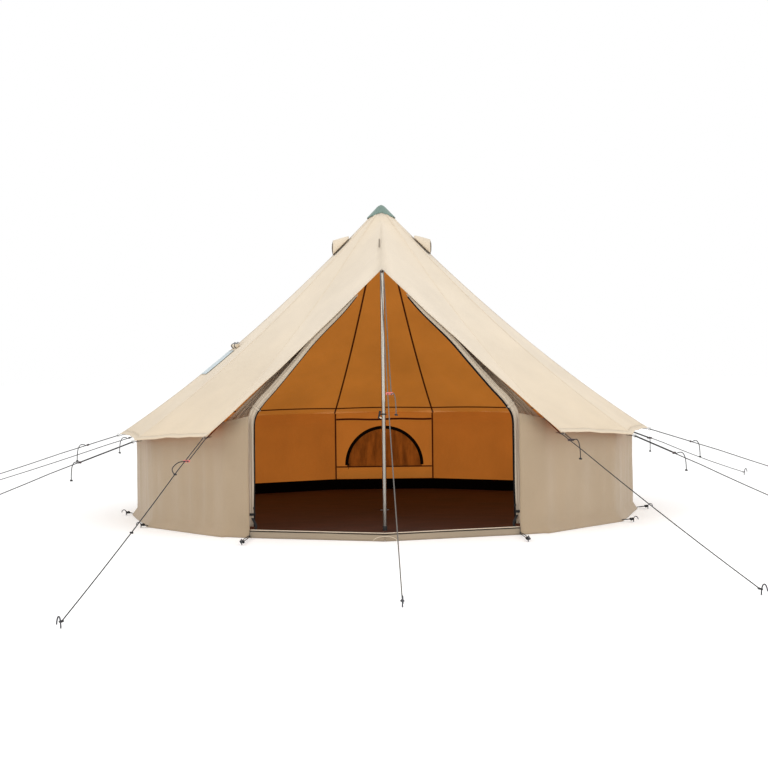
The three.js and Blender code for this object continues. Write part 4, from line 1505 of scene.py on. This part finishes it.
def make_guys(mats):
    for name, eye, peg, runner in guy_list():
        rope, points = make_guy(name, eye, peg, runner, mats)
        slide = runner_piece(name, eye, peg, mats)
        peg_rod, ring, tie = peg_piece(name, eye, peg, mats)
        pieces = [slide, peg_rod, ring, tie, knot(f"tail_knot_{name}", points[-1], 0.011, mats["rope"])]
        along, across, length = line_frame(eye, peg)
        for number, distance in enumerate(MID_KNOTS.get(name, ())):
            v = (distance - runner - SLIDE_ROOM) / (length - runner - SLIDE_ROOM)
            sag = UP * (4 * LINE_SAG * v * (1 - v))
            at = eye + along * distance + across * (STRAND_GAP / 2 * (1 - v)) - sag
            pieces.append(knot(f"line_knot_{name}_{number}", at, 0.011, mats["rope"]))
        eye_ring(name, eye, mats)


HEM_CORNERS = range(1, 6)
DOOR_PEG_Y = -2.62
HEM_REACH = 0.10
HEM_REACH_SHORT = 0.055


def make_hem_pegs(mats):
    """Short hooked pegs that hold the skirt down, each through a black loop sewn to the hem."""
    for side, word in ((-1, "left"), (1, "right")):
        places = [(Vector((side * DOOR_HALF, JAMB_Y, 0)), Vector((side * 1.185, DOOR_PEG_Y, 0)))]
        for index in HEM_CORNERS:
            edge = place(BASE_R - 0.004, side * corner(index), 0)
            reach = HEM_REACH if side > 0 or index > 2 else HEM_REACH_SHORT
            places.append((edge, edge + place(reach, side * corner(index), 0)))
        for number, (edge, spot) in enumerate(places):
            hem_peg(f"{word}_{number}", edge, spot, mats)


def hem_peg(name, edge, spot, mats):
    away = (spot - edge).normalized()
    length = (spot - edge).length
    sideways = Vector((-away.y, away.x, 0))
    route = ((0.004, 0.0006), (0.004, 0.026), (0.010, 0.044), (0.026, 0.052), (0.042, 0.044), (0.048, 0.026))
    path = smooth_path([spot + away * out + Vector((0, 0, z)) for out, z in route], 4)
    round_rod(f"hem_peg_{name}", path, 0.008, mats["peg"])
    loop = []
    for k in range(33):
        a = 2 * math.pi * k / 32
        reach = length / 2 + (length / 2 + 0.006) * math.cos(a)
        z = 0.018 + 0.010 * reach / length
        loop.append(edge + away * reach + sideways * (0.012 * math.sin(a)) + Vector((0, 0, z)))
    round_rod(f"hem_loop_{name}", loop, 0.007, mats["strap"])
    knot(f"hem_knot_{name}", spot - away * 0.012 + Vector((0, 0, 0.026)), 0.018, mats["strap"])


# ---------------------------------------------------------------- zip sliders and small fittings
WINDOW_SLIDER_IN = 0.014
SLIDER_LENGTH = 0.026
# (share down the body, share of its width)
SLIDER_SHAPE = ((0.0, 0.62), (0.12, 0.95), (0.4, 1.0), (0.75, 0.72), (1.0, 0.5))


def make_zip_slider(node, body, mats):
    """A cast slider body with a short cord pull hanging from it."""
    low, high = (Vector(c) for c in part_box(node))
    middle = (low + high) / 2
    if node == "window_zip_slider":
        for point in (low, high, middle):
            point.y -= WINDOW_SLIDER_IN
    front = low.y
    depth = high.y - low.y
    half = (high.x - low.x) / 2
    top = high.z
    rows = []
    for share, width in SLIDER_SHAPE:
        z = top - SLIDER_LENGTH * share
        ring = []
        for k in range(16):
            a = 2 * math.pi * k / 16
            x = middle.x + math.cos(a) * half * width
            ring.append(Vector((x, middle.y + math.sin(a) * depth / 2, z)))
        rows.append(ring)
    mesh = grid_mesh(f"{node}_body", rows, closed=True)
    clean_mesh(mesh)
    slider = add_object(f"{node}_body", mesh, mats["strap"], body)
    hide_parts(node)
    path = [
        Vector((middle.x, front + 0.002, top - 0.022)),
        Vector((middle.x + 0.002, front + 0.001, top - 0.04)),
        Vector((middle.x, front + 0.002, low.z + 0.004)),
    ]
    round_rod(f"{node}_pull", smooth_path(path), 0.005, mats["strap"], body)


CLIP_TIP = ((-0.034, -0.016, -0.024), (-0.026, -0.018, -0.032), (-0.016, -0.018, -0.034))


def make_pole_clip(mats):
    """The dark clip with a pale tip that holds the door pole half way down."""
    centre = Vector((0, PEAK.y, 1.035))
    ring = round_points(centre, RIGHT * 0.0235, BACK * 0.0235, 24)
    round_rod("pole_clip_ring", ring, 0.010, mats["strap"])
    body = [centre + Vector((-0.030 - 0.004 * k, -0.006, 0.030 - 0.022 * k)) for k in range(4)]
    round_rod("pole_clip_body", body, 0.020, mats["strap"])
    tip = [centre + Vector(step) for step in CLIP_TIP]
    round_rod("pole_clip_tip", tip, 0.012, mats["seam"])


def make_ridge_loop(mats):
    """The short dark tab sewn to the front ridge, half way down it."""
    points = [ridge(s) + Vector((-0.022, 0, 0.004)) for s in (0.41, 0.45, 0.49, 0.53, 0.57)]
    straight_tape("ridge_loop", points, RIGHT, (0.009, 0.004), mats["slit"], UP)


def main():
    make_camera()
    mats = make_materials()
    make_guys(mats)
    make_light()
    make_floor()
    make_canopy(mats)
    seam_tapes(mats)
    hem_band(mats)
    make_walls(mats)
    make_groundsheet(mats)
    for side in (-1, 1):
        make_door(side, mats)
        make_vent(side, mats)
    make_sill(mats)
    inner_details(mats)
    make_pole("centre_pole", Vector((0, 0, 0)), (1.0, 2.0), mats["grey_steel"], mats)
    make_pole("door_pole", Vector((0, PEAK.y, 0)), (1.15,), mats["steel"], mats)
    make_cap(mats)
    make_stove_patch(mats)
    make_hem_pegs(mats)
    make_ridge_loop(mats)
    make_pole_clip(mats)
    for node in ("door_zip_slider_left", "door_zip_slider_right", "window_zip_slider"):
        make_zip_slider(node, node, mats)


main()
